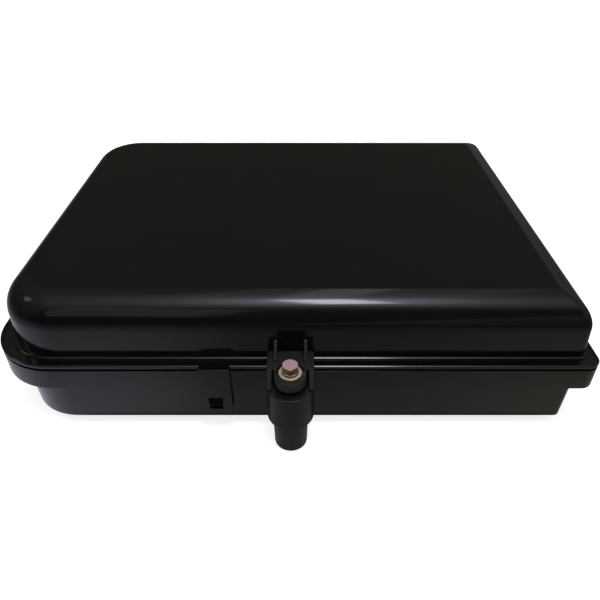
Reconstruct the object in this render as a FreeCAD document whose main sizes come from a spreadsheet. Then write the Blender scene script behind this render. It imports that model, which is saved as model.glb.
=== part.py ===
import FreeCAD, Part
import math
import os
import re
import Sketcher
from FreeCAD import Placement, Rotation, Vector

# Fibre termination box lying on its back: X along the long side, the lock on the -Y side,
# Z out of the wall. The origin is the middle of the wall plane that the feet stand on.
SIZES = {
    # rim and lid flange outline
    "rim_length": 430,
    "rim_width": 330,
    "rim_corner_left": 48,
    "rim_corner_right": 10,
    "rim_top": 53.5,
    "rim_bottom": 38,
    "rim_plate": 3.5,
    "rim_round": 0.7,
    "skirt_wall": 3,
    # tray under the rim
    "tray_bottom": 8,
    "tray_floor": 3,
    "tray_wall": 3,
    "tray_inset": 15,
    "tray_front": 0.2,
    "tray_lean": 1.6,
    "tray_corner_left": 43,
    "tray_corner_right": 6,
    "tray_edge": 1.5,
    # seal
    "ledge_bottom": 46.5,
    "ledge_inset": 17,
    "groove_outer": 6,
    "groove_inner": 11,
    "groove_depth": 4,
    "gasket_slack": 0.15,
    "gasket_height": 2.5,
    # lid
    "flange_bottom": 56.2,
    "flange_plate": 2.4,
    "lip_width": 2.3,
    "lip_rise": 0.7,
    "step_inset": 7.5,
    "step_rise": 1.6,
    "edge_round": 0.6,
    "lid_inset": 9,
    "lid_lean": 0.9,
    "lid_corner_left": 44,
    "lid_corner_right": 5.2,
    "lid_top": 103,
    "lid_wall": 3,
    "dome_radius": 22,
    "tongue_outer": 7.25,
    "tongue_inner": 9.75,
    "tongue_drop": 4,
    # lock
    "lock_reach": 13.3,
    "tower_radius": 16.2,
    "tower_top": 55.5,
    "tower_step": 27.9,
    "column_radius": 11.5,
    "column_draft": 0.8,
    "column_toe": 1.1,
    "column_bottom": 0.4,
    "hasp_top": 65.2,
    "hasp_plate": 3.4,
    "hasp_reach": 8.8,
    "cheek_reach": 20,
    "cheek_wall": 4,
    "cheek_bottom": 56.4,
    "boss_radius": 10.9,
    "boss_bottom": 57.9,
    "rib_offset": 10.2,
    "rib_wall": 2.4,
    "rib_rise": 10.5,
    "rib_reach": 2,
    "bolt_radius": 3,
    "bolt_length": 20,
    "bolt_head": 5,
    "bolt_flats": 10,
    "washer_radius": 8,
    "washer_wall": 1.6,
    "spring_radius": 5.8,
    "insert_radius": 4.5,
    "insert_length": 8,
    # snap tongue
    "snap_middle": -52.6,
    "snap_width": 21.7,
    "snap_reach": 3.7,
    "snap_wall": 2.6,
    "snap_bottom": 17.5,
    "window_middle": -53.1,
    "window_width": 10.1,
    "window_bottom": 21.6,
    "window_height": 11.2,
    # hinge on the side opposite the lock
    "hinge_reach": 7.5,
    "hinge_height": 55,
    "hinge_spread": 120,
    "knuckle_radius": 6,
    "knuckle_length": 40,
    "lug_length": 10,
    "lug_gap": 0.5,
    "pin_radius": 2.5,
    "pin_play": 0.05,
    # feet and wall fixing
    "fixing_x": 130,
    "fixing_y": 100,
    "foot_radius": 12,
    "fixing_radius": 2.75,
    # cable ports in the right end
    "port_height": 24,
    "port_face": 201.5,
    "port_field": 290,
    "port_rise": 24,
    "gland_offset": 125,
    "gland_thread": 8,
    "gland_bore": 6.2,
    "drop_pitch": 16,
    "drop_radius": 4.5,
    # adapters
    "bracket_x": 92,
    "bracket_sheet": 1.5,
    "bracket_height": 35,
    "bracket_width": 204,
    "bracket_foot": 16,
    "adapter_height": 30,
    "adapter_length": 27,
    "adapter_wide": 9.2,
    "adapter_tall": 12.8,
    # splice cassettes
    "cassette_x": -40,
    "cassette_length": 184,
    "cassette_width": 116,
    "cassette_corner": 40,
    "cassette_height": 11,
    "cassette_wall": 1.8,
    "cassette_base": 16,
    "cassette_cover": 2,
    "stud_spread": 80,
    "stud_radius": 2,
    # feeder clamps
    "clamp_x": 160,
    "clamp_wide": 14,
    "clamp_sheet": 3,
    "clamp_seat": 20,
    "clamp_pitch": 15,
    "screw_radius": 1.9,
}
DROP_COUNT = 12

DOC = FreeCAD.newDocument("fibre_termination_box")
SHEET = DOC.addObject("Spreadsheet::Sheet", "Sizes")
for row, (alias, number) in enumerate(SIZES.items(), 1):
    SHEET.set(f"A{row}", alias)
    SHEET.set(f"B{row}", str(number))
    SHEET.setAlias(f"B{row}", alias)
DOC.recompute()

NODES = []


def bound(text):
    """An expression in which every alias is read from the sheet."""
    return re.sub(
        r"[a-z_]+",
        lambda m: "Sizes." + m.group() if m.group() in SIZES else m.group(),
        str(text),
    )


def bind(thing, **expressions):
    for name, text in expressions.items():
        thing.setExpression(name.replace("__", "."), bound(text))


def node(thing, label):
    thing.Label = label
    NODES.append(thing)
    return thing


# Primitives and booleans


def place(thing, x, y, z, axis=(0, 0, 1)):
    thing.Placement = Placement(Vector(), Rotation(Vector(0, 0, 1), Vector(*axis)))
    bind(thing, Placement__Base__x=x, Placement__Base__y=y, Placement__Base__z=z)
    return thing


def cylinder(name, radius, length, x, y, z, axis=(0, 0, 1)):
    thing = DOC.addObject("Part::Cylinder", name)
    bind(thing, Radius=radius, Height=length)
    return place(thing, x, y, z, axis)


def cone(name, low, high, length, x, y, z, axis=(0, 0, 1)):
    thing = DOC.addObject("Part::Cone", name)
    bind(thing, Radius1=low, Radius2=high, Height=length)
    return place(thing, x, y, z, axis)


def box(name, x, y, z, length, width, height):
    thing = DOC.addObject("Part::Box", name)
    bind(thing, Length=length, Width=width, Height=height)
    return place(thing, x, y, z)


def prism(name, sides, radius, length, x, y, z, axis=(0, 0, 1)):
    thing = DOC.addObject("Part::Prism", name)
    thing.Polygon = sides
    bind(thing, Circumradius=radius, Height=length)
    return place(thing, x, y, z, axis)


def fuse(name, parts):
    thing = DOC.addObject("Part::MultiFuse", name)
    thing.Shapes = parts
    thing.Refine = True
    return thing


def cut(name, base, tools):
    thing = DOC.addObject("Part::Cut", name)
    thing.Base = base
    thing.Tool = tools[0] if len(tools) == 1 else fuse(name + "_tools", tools)
    thing.Refine = True
    return thing


def group(name, parts):
    thing = DOC.addObject("Part::Compound", name)
    thing.Links = parts
    return thing


# Sketches and features


def new_body(name):
    return DOC.addObject("PartDesign::Body", name)


def new_sketch(body, role, name, offset):
    plane = [p for p in body.Origin.OriginFeatures if p.Role == role][0]
    sketch = body.newObject("Sketcher::SketchObject", name)
    sketch.AttachmentSupport = [(plane, "")]
    sketch.MapMode = "FlatFace"
    bind(sketch, AttachmentOffset__Base__z=offset)
    return sketch


def add_outline(sketch, left, right, half, corner_left, corner_right):
    """A rectangle with one radius on its two left corners and one on its two right corners."""
    first = sketch.GeometryCount
    reach, side, turn = 190.0, 140.0, 12.0
    corners = [
        (reach - turn, -side + turn, 270),
        (reach - turn, side - turn, 0),
        (-reach + turn, side - turn, 90),
        (-reach + turn, -side + turn, 180),
    ]
    arcs = []
    for x, y, begin in corners:
        circle = Part.Circle(Vector(x, y, 0), Vector(0, 0, 1), turn)
        arcs.append(Part.ArcOfCircle(circle, math.radians(begin), math.radians(begin + 90)))
    for i, arc in enumerate(arcs):
        sketch.addGeometry(Part.LineSegment(arcs[i - 1].EndPoint, arc.StartPoint))
        sketch.addGeometry(arc)
    front, right_line, back, left_line = first, first + 2, first + 4, first + 6
    rules = []
    for i in range(8):
        rules.append(Sketcher.Constraint("Tangent", first + i, 2, first + (i + 1) % 8, 1))
    rules += [
        Sketcher.Constraint("Horizontal", front),
        Sketcher.Constraint("Horizontal", back),
        Sketcher.Constraint("Vertical", right_line),
        Sketcher.Constraint("Vertical", left_line),
        Sketcher.Constraint("Equal", first + 1, first + 3),
        Sketcher.Constraint("Equal", first + 5, first + 7),
    ]
    sketch.addConstraint(rules)
    driven = [
        (Sketcher.Constraint("DistanceY", front, 1, -1, 1, side), half),
        (Sketcher.Constraint("DistanceY", -1, 1, back, 1, side), half),
        (Sketcher.Constraint("DistanceX", -1, 1, right_line, 1, reach), right),
        (Sketcher.Constraint("DistanceX", left_line, 1, -1, 1, reach), left),
        (Sketcher.Constraint("Radius", first + 1, turn), corner_right),
        (Sketcher.Constraint("Radius", first + 5, turn), corner_left),
    ]
    for rule, text in driven:
        index = sketch.addConstraint(rule)
        sketch.setExpression(f"Constraints[{index}]", bound(text))


def add_polygon(sketch, points):
    """A closed polygon whose corners are given as pairs of expressions."""
    first = sketch.GeometryCount
    count = len(points)
    rough = [
        Vector(10 * math.cos(2 * math.pi * i / count), 10 * math.sin(2 * math.pi * i / count), 0)
        for i in range(count)
    ]
    for i in range(count):
        sketch.addGeometry(Part.LineSegment(rough[i], rough[(i + 1) % count]))
    for i in range(count):
        sketch.addConstraint(Sketcher.Constraint("Coincident", first + i, 2, first + (i + 1) % count, 1))
    for i, (x, y) in enumerate(points):
        index = sketch.addConstraint(Sketcher.Constraint("DistanceX", -1, 1, first + i, 1, rough[i].x))
        sketch.setExpression(f"Constraints[{index}]", bound(x))
        index = sketch.addConstraint(Sketcher.Constraint("DistanceY", -1, 1, first + i, 1, rough[i].y))
        sketch.setExpression(f"Constraints[{index}]", bound(y))


def rim_offset(sketch, inset, corner_left, corner_right):
    """The rim's outline moved inwards."""
    reach = f"rim_length / 2 - ({inset})"
    add_outline(sketch, reach, reach, f"rim_width / 2 - ({inset})", corner_left, corner_right)


def pad(body, sketch, length):
    feature = body.newObject("PartDesign::Pad", sketch.Name + "_pad")
    feature.Profile = sketch
    bind(feature, Length=length)
    return feature


def pocket(body, sketch, depth, upward=False):
    feature = body.newObject("PartDesign::Pocket", sketch.Name + "_pocket")
    feature.Profile = sketch
    feature.Reversed = upward
    bind(feature, Length=depth)
    return feature


def loft(body, kind, name, sketches, ruled):
    feature = body.newObject(kind, name)
    feature.Profile = sketches[0]
    feature.Sections = sketches[1:]
    feature.Ruled = ruled
    return feature


def round_edges(body, name, radius, wanted):
    """Rounds the edges of the finished body that the test picks."""
    DOC.recompute()
    base = body.Tip
    names = [f"Edge{i}" for i, edge in enumerate(base.Shape.Edges, 1) if wanted(edge)]
    feature = body.newObject("PartDesign::Fillet", name)
    feature.Base = (base, names)
    bind(feature, Radius=radius)
    return feature


def profile(name, role, offset, length, points):
    """A straight bar with a polygon as its section."""
    body = new_body(name)
    sketch = new_sketch(body, role, name + "_section", offset)
    add_polygon(sketch, points)
    pad(body, sketch, length)
    return body


def level_at(height):
    return lambda edge: all(abs(v.Z - height) < 1e-4 for v in edge.Vertexes)


FRONT = "-rim_width / 2"
LOCK_Y = "-rim_width / 2 - lock_reach"
HINGE_Y = "rim_width / 2 + hinge_reach"
FLOOR = "tray_bottom + tray_floor"
FLANGE_TOP = "flange_bottom + flange_plate"


def drop_positions():
    return [(i + 1, f"drop_pitch * ({i} - {(DROP_COUNT - 1) / 2})") for i in range(DROP_COUNT)]


# Base: rim with a hanging skirt, leaning tray below it, sealing groove round the top
def tray_section(body, name, height, inset):
    sketch = new_sketch(body, "XY_Plane", name, height)
    add_outline(
        sketch,
        f"rim_length / 2 - tray_inset - ({inset})",
        f"rim_length / 2 - tray_inset - ({inset})",
        f"rim_width / 2 - tray_front - ({inset})",
        f"tray_corner_left - ({inset})",
        f"max(tray_corner_right - ({inset}); 3)",
    )
    return sketch


base = new_body("base_moulding")
sketch = new_sketch(base, "XY_Plane", "rim_outline", "rim_bottom")
rim_offset(sketch, 0, "rim_corner_left", "rim_corner_right")
pad(base, sketch, "rim_top - rim_bottom")
rim_levels = level_at(SIZES["rim_top"]), level_at(SIZES["rim_bottom"])
round_edges(base, "rim_edges", "rim_round", lambda edge: any(level(edge) for level in rim_levels))
sketch = new_sketch(base, "XY_Plane", "skirt_inside", "rim_bottom")
rim_offset(sketch, "skirt_wall", "rim_corner_left - skirt_wall", "rim_corner_right - skirt_wall")
pocket(base, sketch, "rim_top - rim_bottom - rim_plate", upward=True)
outer = [
    tray_section(base, "tray_outer_low", "tray_bottom", "tray_lean"),
    tray_section(base, "tray_outer_high", "rim_top", "0"),
]
loft(base, "PartDesign::AdditiveLoft", "tray_outer", outer, True)
round_edges(base, "tray_edges", "tray_edge", level_at(SIZES["tray_bottom"]))
inner = [
    tray_section(base, "tray_inner_low", FLOOR, "tray_lean + tray_wall"),
    tray_section(base, "tray_inner_high", "rim_top", "tray_wall"),
]
loft(base, "PartDesign::SubtractiveLoft", "tray_inner", inner, True)
sketch = new_sketch(base, "XY_Plane", "seal_ledge", "ledge_bottom")
rim_offset(sketch, "skirt_wall - 1", "rim_corner_left - skirt_wall + 1", "rim_corner_right - 2")
rim_offset(sketch, "ledge_inset", "rim_corner_left - ledge_inset", "4")
pad(base, sketch, "rim_top - ledge_bottom")
sketch = new_sketch(base, "XY_Plane", "seal_groove", "rim_top")
rim_offset(sketch, "groove_outer", "rim_corner_left - groove_outer", "7")
rim_offset(sketch, "groove_inner", "rim_corner_left - groove_inner", "2")
pocket(base, sketch, "groove_depth")

base_adds = [base]
base_cuts = []

# Lock tower: half-round shell at the rim on a tapered column, joined to the tray by a web
base_adds += [
    cylinder("tower_shell", "tower_radius", "tower_top - tower_step", 0, LOCK_Y, "tower_step"),
    box("tower_back", "-tower_radius", LOCK_Y, "tower_step",
        "2 * tower_radius", "lock_reach + 1.6", "tower_top - tower_step"),
    cone("tower_column", "column_radius", "column_radius + column_draft",
         "tower_step - column_bottom - column_toe", 0, LOCK_Y, "column_bottom + column_toe"),
    cone("tower_toe", "column_radius - column_toe", "column_radius", "column_toe",
         0, LOCK_Y, "column_bottom"),
    box("tower_web", -5, LOCK_Y, "tray_bottom + 2", 10, "lock_reach + 4", "tower_step - tray_bottom"),
]
base_cuts += [
    cylinder("insert_seat", "insert_radius", "insert_length + 0.2", 0, LOCK_Y, "tower_top - insert_length - 0.2"),
    cylinder("bolt_room", "bolt_radius + 0.5", 20, 0, LOCK_Y, "tower_top - 20"),
    cylinder("column_core", "column_radius - 3", "tower_step - column_bottom - 2", 0, LOCK_Y, "column_bottom"),
]

# Catch behind the window of the snap tongue
base_adds.append(
    profile("snap_catch", "YZ_Plane", "window_middle - window_width / 2 + 0.8", "window_width - 1.6", [
        (f"{FRONT} + 2.4", "window_bottom + 1.4"),
        (f"{FRONT} - 2.6", "window_bottom + 1.4"),
        (f"{FRONT} - 2.6", "window_bottom + 3"),
        (f"{FRONT} + 0.6", "window_bottom + window_height - 1"),
        (f"{FRONT} + 2.4", "window_bottom + window_height - 1"),
    ])
)

# Hinge lugs in pairs round each lid knuckle
for side, sign in (("left", -1), ("right", 1)):
    for place_name, begin in (
        ("outer", f"{sign} * hinge_spread - knuckle_length / 2 - lug_gap - lug_length"),
        ("inner", f"{sign} * hinge_spread + knuckle_length / 2 + lug_gap"),
    ):
        name = f"hinge_lug_{side}_{place_name}"
        base_adds.append(
            cylinder(name, "knuckle_radius", "lug_length", begin, HINGE_Y, "hinge_height", (1, 0, 0))
        )
        base_adds.append(
            profile(name + "_web", "YZ_Plane", begin, "lug_length", [
                ("rim_width / 2 - 1", "rim_bottom + 2"),
                (f"{HINGE_Y} + knuckle_radius / 2", "hinge_height - knuckle_radius * 0.86"),
                (HINGE_Y, "rim_top - 0.2"),
                ("rim_width / 2 - 1", "rim_top - 0.2"),
            ])
        )
base_cuts.append(
    cylinder("pin_bore", "pin_radius", "2 * hinge_spread + 100", "-hinge_spread - 50",
             HINGE_Y, "hinge_height", (1, 0, 0))
)

# Feet with the wall-fixing holes
for number, (x, y) in enumerate(((-1, -1), (1, -1), (1, 1), (-1, 1)), 1):
    at = (f"{x} * fixing_x", f"{y} * fixing_y")
    base_adds.append(cylinder(f"foot_{number}", "foot_radius", "tray_bottom + 1", *at, 0))
    base_cuts.append(cylinder(f"fixing_{number}", "fixing_radius", "tray_bottom + tray_floor + 2", *at, -1))

# Flat port field on the right end, with feeder and drop ports
base_adds.append(
    box("port_plate", "port_face - 4", "-port_field / 2", "port_height - port_rise / 2",
        4, "port_field", "port_rise")
)
for side, sign in (("front", -1), ("rear", 1)):
    base_cuts.append(
        cylinder(f"feeder_port_{side}", "gland_thread", 20, "port_face - 12",
                 f"{sign} * gland_offset", "port_height", (1, 0, 0))
    )
for number, y in drop_positions():
    base_cuts.append(
        cylinder(f"drop_port_{number:02d}", "drop_radius", 20, "port_face - 12", y, "port_height", (1, 0, 0))
    )

# Bosses on the floor for the cassettes, the clamps and the adapter bracket
for side, sign in (("left", -1), ("right", 1)):
    x = f"cassette_x + {sign} * stud_spread"
    base_adds.append(cylinder(f"stud_boss_{side}", 6, f"cassette_base - ({FLOOR}) + 1", x, 0, f"{FLOOR} - 1"))
    base_cuts.append(cylinder(f"stud_hole_{side}", "stud_radius", 8, x, 0, "cassette_base - 6"))
CLAMP_SCREWS = []
for side, sign in (("front", -1), ("rear", 1)):
    for end in (-1, 1):
        CLAMP_SCREWS.append((f"{side}_{'a' if end < 0 else 'b'}", f"{sign} * gland_offset + {end} * clamp_pitch"))
for name, y in CLAMP_SCREWS:
    base_adds.append(cylinder(f"clamp_post_{name}", 5, f"clamp_seat - ({FLOOR}) + 1", "clamp_x", y, f"{FLOOR} - 1"))
    base_cuts.append(cylinder(f"clamp_hole_{name}", "screw_radius", 9, "clamp_x", y, "clamp_seat - 8"))
BRACKET_SCREWS = [("front", "-80"), ("middle", "0"), ("rear", "80")]
BRACKET_SCREW_X = "bracket_x - bracket_foot / 2"
for name, y in BRACKET_SCREWS:
    base_adds.append(cylinder(f"bracket_boss_{name}", 5, "tray_bottom - 2", BRACKET_SCREW_X, y, 3))
    base_cuts.append(cylinder(f"bracket_hole_{name}", "screw_radius", 8, BRACKET_SCREW_X, y, f"{FLOOR} - 6.5"))

node(cut("base_cut", fuse("base_solid", base_adds), base_cuts), "base_housing")


# Lid: flange with a raised lip and a step, leaning wall, dome drawn through rounded outlines
def lid_section(body, name, height, inset):
    sketch = new_sketch(body, "XY_Plane", name, height)
    rim_offset(
        sketch,
        f"lid_inset + {inset}",
        f"lid_corner_left - ({inset})",
        "lid_corner_right",
    )
    return sketch


def dome_sections(body, name, shrink):
    """Outlines up the dome's quarter-round edge, each as far in as the arc is at its height."""
    sections = []
    for angle in (0, 15, 30, 45, 60, 75, 90):
        sections.append(
            lid_section(
                body,
                f"{name}_{angle}",
                f"lid_top - dome_radius + (dome_radius - {shrink}) * sin({angle})",
                f"lid_lean + {shrink} + (dome_radius - {shrink}) * (1 - cos({angle}))",
            )
        )
    return sections


cover = new_body("lid_moulding")
sketch = new_sketch(cover, "XY_Plane", "flange_outline", "flange_bottom")
rim_offset(sketch, 0, "rim_corner_left", "rim_corner_right")
pad(cover, sketch, "flange_plate")
sketch = new_sketch(cover, "XY_Plane", "lip_ring", FLANGE_TOP)
rim_offset(sketch, 0, "rim_corner_left", "rim_corner_right")
rim_offset(sketch, "lip_width", "rim_corner_left - lip_width", "rim_corner_right - lip_width")
pad(cover, sketch, "lip_rise")
sketch = new_sketch(cover, "XY_Plane", "step_outline", FLANGE_TOP)
rim_offset(sketch, "step_inset", "rim_corner_left - step_inset", "6")
pad(cover, sketch, "step_rise")
lip_level = level_at(SIZES["flange_bottom"] + SIZES["flange_plate"] + SIZES["lip_rise"])
step_level = level_at(SIZES["flange_bottom"] + SIZES["flange_plate"] + SIZES["step_rise"])
round_edges(cover, "flange_edges", "edge_round", lambda edge: lip_level(edge) or step_level(edge))
wall = [
    lid_section(cover, "wall_low", f"{FLANGE_TOP} + step_rise", "0"),
    lid_section(cover, "wall_high", "lid_top - dome_radius", "lid_lean"),
]
loft(cover, "PartDesign::AdditiveLoft", "lid_wall_outer", wall, True)
loft(cover, "PartDesign::AdditiveLoft", "dome_outer", dome_sections(cover, "dome_out", "0"), False)
hollow = [
    lid_section(cover, "hollow_low", "flange_bottom", "lid_wall"),
    lid_section(cover, "hollow_high", "lid_top - dome_radius", "lid_lean + lid_wall"),
]
loft(cover, "PartDesign::SubtractiveLoft", "lid_wall_inner", hollow, True)
loft(cover, "PartDesign::SubtractiveLoft", "dome_inner", dome_sections(cover, "dome_in", "lid_wall"), False)
sketch = new_sketch(cover, "XY_Plane", "seal_tongue", "flange_bottom - tongue_drop")
rim_offset(sketch, "tongue_outer", "rim_corner_left - tongue_outer", "6")
rim_offset(sketch, "tongue_inner", "rim_corner_left - tongue_inner", "3.5")
pad(cover, sketch, "tongue_drop")

lid_adds = [cover]
lid_cuts = []

# Hasp: plate with two sloping cheeks, two gusset ribs and the round boss under the bolt
WALL_Y = f"{FRONT} + lid_inset + 0.4"
lid_adds.append(
    box("hasp_top_plate", "-tower_radius", f"{FRONT} - hasp_reach", "hasp_top - hasp_plate",
        "2 * tower_radius", "hasp_reach + lid_inset + 0.6", "hasp_plate")
)
for side, begin in (("left", "-tower_radius"), ("right", "tower_radius - cheek_wall")):
    lid_adds.append(
        profile(f"hasp_cheek_{side}", "YZ_Plane", begin, "cheek_wall", [
            (WALL_Y, "cheek_bottom"),
            (WALL_Y, "hasp_top"),
            (f"{FRONT} - hasp_reach", "hasp_top"),
            (f"{FRONT} - cheek_reach", "cheek_bottom"),
        ])
    )
for side, sign in (("left", -1), ("right", 1)):
    lid_adds.append(
        profile(f"hasp_rib_{side}", "YZ_Plane", f"{sign} * rib_offset - rib_wall / 2", "rib_wall", [
            (f"{WALL_Y} + 1", "hasp_top - 1"),
            (f"{WALL_Y} + 1", "hasp_top + rib_rise"),
            (f"{WALL_Y} - 1", "hasp_top + rib_rise"),
            (f"{FRONT} - rib_reach", "hasp_top + 0.6"),
            (f"{FRONT} - rib_reach", "hasp_top - 1"),
        ])
    )
lid_adds += [
    cylinder("hasp_boss", "boss_radius", "hasp_top - boss_bottom", 0, LOCK_Y, "boss_bottom"),
    box("hasp_neck", "-boss_radius", LOCK_Y, "hasp_top - hasp_plate - 1",
        "2 * boss_radius", "lock_reach - 2", "hasp_plate + 1"),
]
lid_cuts.append(cylinder("hasp_hole", "bolt_radius + 0.3", 20, 0, LOCK_Y, "boss_bottom - 6"))

# Snap tongue hanging over the front of the base
SNAP_X = "snap_middle - snap_width / 2"
lid_cuts.append(
    box("lip_gap", SNAP_X, f"{FRONT} - 1", FLANGE_TOP, "snap_width", "lip_width + 1.2", 4)
)
SNAP_TOOL = cut(
    "snap_strap",
    fuse("snap_strap_solid", [
        box("snap_shelf", SNAP_X, f"{FRONT} - snap_reach", "flange_bottom",
            "snap_width", "snap_reach + 2", "flange_plate"),
        box("snap_hanging", SNAP_X, f"{FRONT} - snap_reach", "snap_bottom",
            "snap_width", "snap_wall", f"{FLANGE_TOP} - snap_bottom"),
    ]),
    [
        box("snap_window", "window_middle - window_width / 2", f"{FRONT} - snap_reach - 1", "window_bottom",
            "window_width", "snap_wall + 2", "window_height"),
    ],
)

# Knuckles of the hinge
for side, sign in (("left", -1), ("right", 1)):
    begin = f"{sign} * hinge_spread - knuckle_length / 2"
    lid_adds.append(
        cylinder(f"knuckle_{side}", "knuckle_radius", "knuckle_length", begin,
                 HINGE_Y, "hinge_height", (1, 0, 0))
    )
    lid_adds.append(
        profile(f"knuckle_{side}_arm", "YZ_Plane", begin, "knuckle_length", [
            (f"{HINGE_Y} - knuckle_radius + 0.4", "flange_bottom"),
            (HINGE_Y, "flange_bottom"),
            (HINGE_Y, "hinge_height + knuckle_radius - 0.1"),
            ("rim_width / 2 - 3", "hinge_height + knuckle_radius - 0.1"),
            ("rim_width / 2 - 3", "flange_bottom"),
        ])
    )
lid_cuts.append(
    cylinder("knuckle_bore", "pin_radius + pin_play", "2 * hinge_spread + 100", "-hinge_spread - 50",
             HINGE_Y, "hinge_height", (1, 0, 0))
)
lid_shell = cut("lid_cut", fuse("lid_solid", lid_adds), lid_cuts)
node(fuse("lid_whole", [lid_shell, SNAP_TOOL]), "lid")

# Seal in the groove
seal = new_body("seal_ring")
sketch = new_sketch(seal, "XY_Plane", "seal_outline", "rim_top - groove_depth")
rim_offset(sketch, "groove_outer + gasket_slack", "rim_corner_left - groove_outer - gasket_slack", "6.8")
rim_offset(sketch, "groove_inner - gasket_slack", "rim_corner_left - groove_inner + gasket_slack", "2.2")
pad(seal, sketch, "gasket_height")
node(seal, "lid_gasket")

# Hinge pins
for side, sign in (("left", -1), ("right", 1)):
    length = "knuckle_length + 2 * lug_gap + 2 * lug_length"
    pin = cylinder(f"pin_{side}", "pin_radius", length, f"{sign} * hinge_spread - ({length}) / 2",
                   HINGE_Y, "hinge_height", (1, 0, 0))
    node(pin, f"hinge_pin_{side}")

# Lock hardware: threaded bush, washers and bolt
node(
    cut("bush_cut",
        cylinder("bush", "insert_radius", "insert_length", 0, LOCK_Y, "tower_top - insert_length"),
        [cylinder("bush_bore", "bolt_radius + 0.02", 30, 0, LOCK_Y, "tower_top - 20")]),
    "lock_insert",
)
node(
    cut("washer_cut",
        cylinder("washer", "washer_radius", "washer_wall", 0, LOCK_Y, "hasp_top"),
        [cylinder("washer_bore", "bolt_radius + 0.2", 10, 0, LOCK_Y, "hasp_top - 4")]),
    "lock_flat_washer",
)
node(
    cut("spring_cut",
        cylinder("spring", "spring_radius", "washer_wall", 0, LOCK_Y, "hasp_top + washer_wall"),
        [
            cylinder("spring_bore", "bolt_radius + 0.1", 10, 0, LOCK_Y, "hasp_top - 2"),
            box("spring_split", 0, f"{LOCK_Y} - 0.5", "hasp_top", 8, 1, 8),
        ]),
    "lock_spring_washer",
)
HEAD_Z = "hasp_top + 2 * washer_wall"
bolt = new_body("bolt_turning")
sketch = new_sketch(bolt, "XY_Plane", "bolt_hexagon", HEAD_Z)
add_polygon(sketch, [
    (f"bolt_flats / 2 / cos(30) * cos({angle})", f"bolt_flats / 2 / cos(30) * sin({angle})")
    for angle in range(30, 390, 60)
])
pad(bolt, sketch, "bolt_head")
sketch = new_sketch(bolt, "XY_Plane", "bolt_shank", f"{HEAD_Z} - bolt_length")
sketch.addGeometry(Part.Circle(Vector(0, 0, 0), Vector(0, 0, 1), 3))
sketch.addConstraint(Sketcher.Constraint("Coincident", 0, 3, -1, 1))
index = sketch.addConstraint(Sketcher.Constraint("Radius", 0, 3))
sketch.setExpression(f"Constraints[{index}]", bound("bolt_radius"))
pad(bolt, sketch, "bolt_length")
sketch = new_sketch(bolt, "XZ_Plane", "head_chamfer", 0)
add_polygon(sketch, [
    ("bolt_flats / 2 - 0.3", f"{HEAD_Z} + bolt_head + 0.2"),
    ("bolt_flats / 2 - 0.3", f"{HEAD_Z} + bolt_head"),
    ("bolt_flats / 2 + 1.5", f"{HEAD_Z} + bolt_head - 1.04"),
    ("bolt_flats / 2 + 1.5", f"{HEAD_Z} + bolt_head + 0.2"),
])
groove = bolt.newObject("PartDesign::Groove", "head_chamfer_groove")
groove.Profile = sketch
groove.ReferenceAxis = (sketch, ["V_Axis"])
groove.Angle = 360
bind(bolt, Placement__Base__y=LOCK_Y)
node(bolt, "lock_bolt")


# Splice cassettes: shallow trays with storage hubs, stacked on two studs
def cassette(level, bottom):
    body = new_body(f"cassette_{level}")
    sketch = new_sketch(body, "XY_Plane", f"cassette_{level}_outline", bottom)
    add_outline(sketch, "cassette_length / 2", "cassette_length / 2", "cassette_width / 2",
                "cassette_corner", "cassette_corner")
    pad(body, sketch, "cassette_height")
    sketch = new_sketch(body, "XY_Plane", f"cassette_{level}_hollow", f"{bottom} + cassette_height")
    add_outline(sketch, "cassette_length / 2 - cassette_wall", "cassette_length / 2 - cassette_wall",
                "cassette_width / 2 - cassette_wall", "cassette_corner - cassette_wall",
                "cassette_corner - cassette_wall")
    pocket(body, sketch, "cassette_height - cassette_wall")
    bind(body, Placement__Base__x="cassette_x")
    adds = [body]
    cuts = []
    inside = f"{bottom} + cassette_wall - 0.5"
    for side, sign in (("left", -1), ("right", 1)):
        x = f"cassette_x + {sign} * 52"
        adds.append(
            cut(f"hub_{level}_{side}",
                cylinder(f"hub_{level}_{side}_out", 24, "cassette_height - cassette_wall - 1", x, 0, inside),
                [cylinder(f"hub_{level}_{side}_in", 22.2, 30, x, 0, bottom)])
        )
        stud = f"cassette_x + {sign} * stud_spread"
        adds.append(cylinder(f"ear_{level}_{side}", 5, "cassette_height", stud, 0, bottom))
        cuts.append(cylinder(f"ear_hole_{level}_{side}", "stud_radius + 0.15", 30, stud, 0, f"{bottom} - 5"))
        for face, turn in (("front", -1), ("back", 1)):
            adds.append(
                box(f"tab_{level}_{side}_{face}", f"{x} - 5",
                    f"{turn} * (cassette_width / 2 - 4.5) - 4", f"{bottom} + cassette_height - 1.2",
                    10, 8, 1.2)
            )
    return node(cut(f"cassette_{level}_cut", fuse(f"cassette_{level}_solid", adds), cuts), f"splice_tray_{level}")


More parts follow.
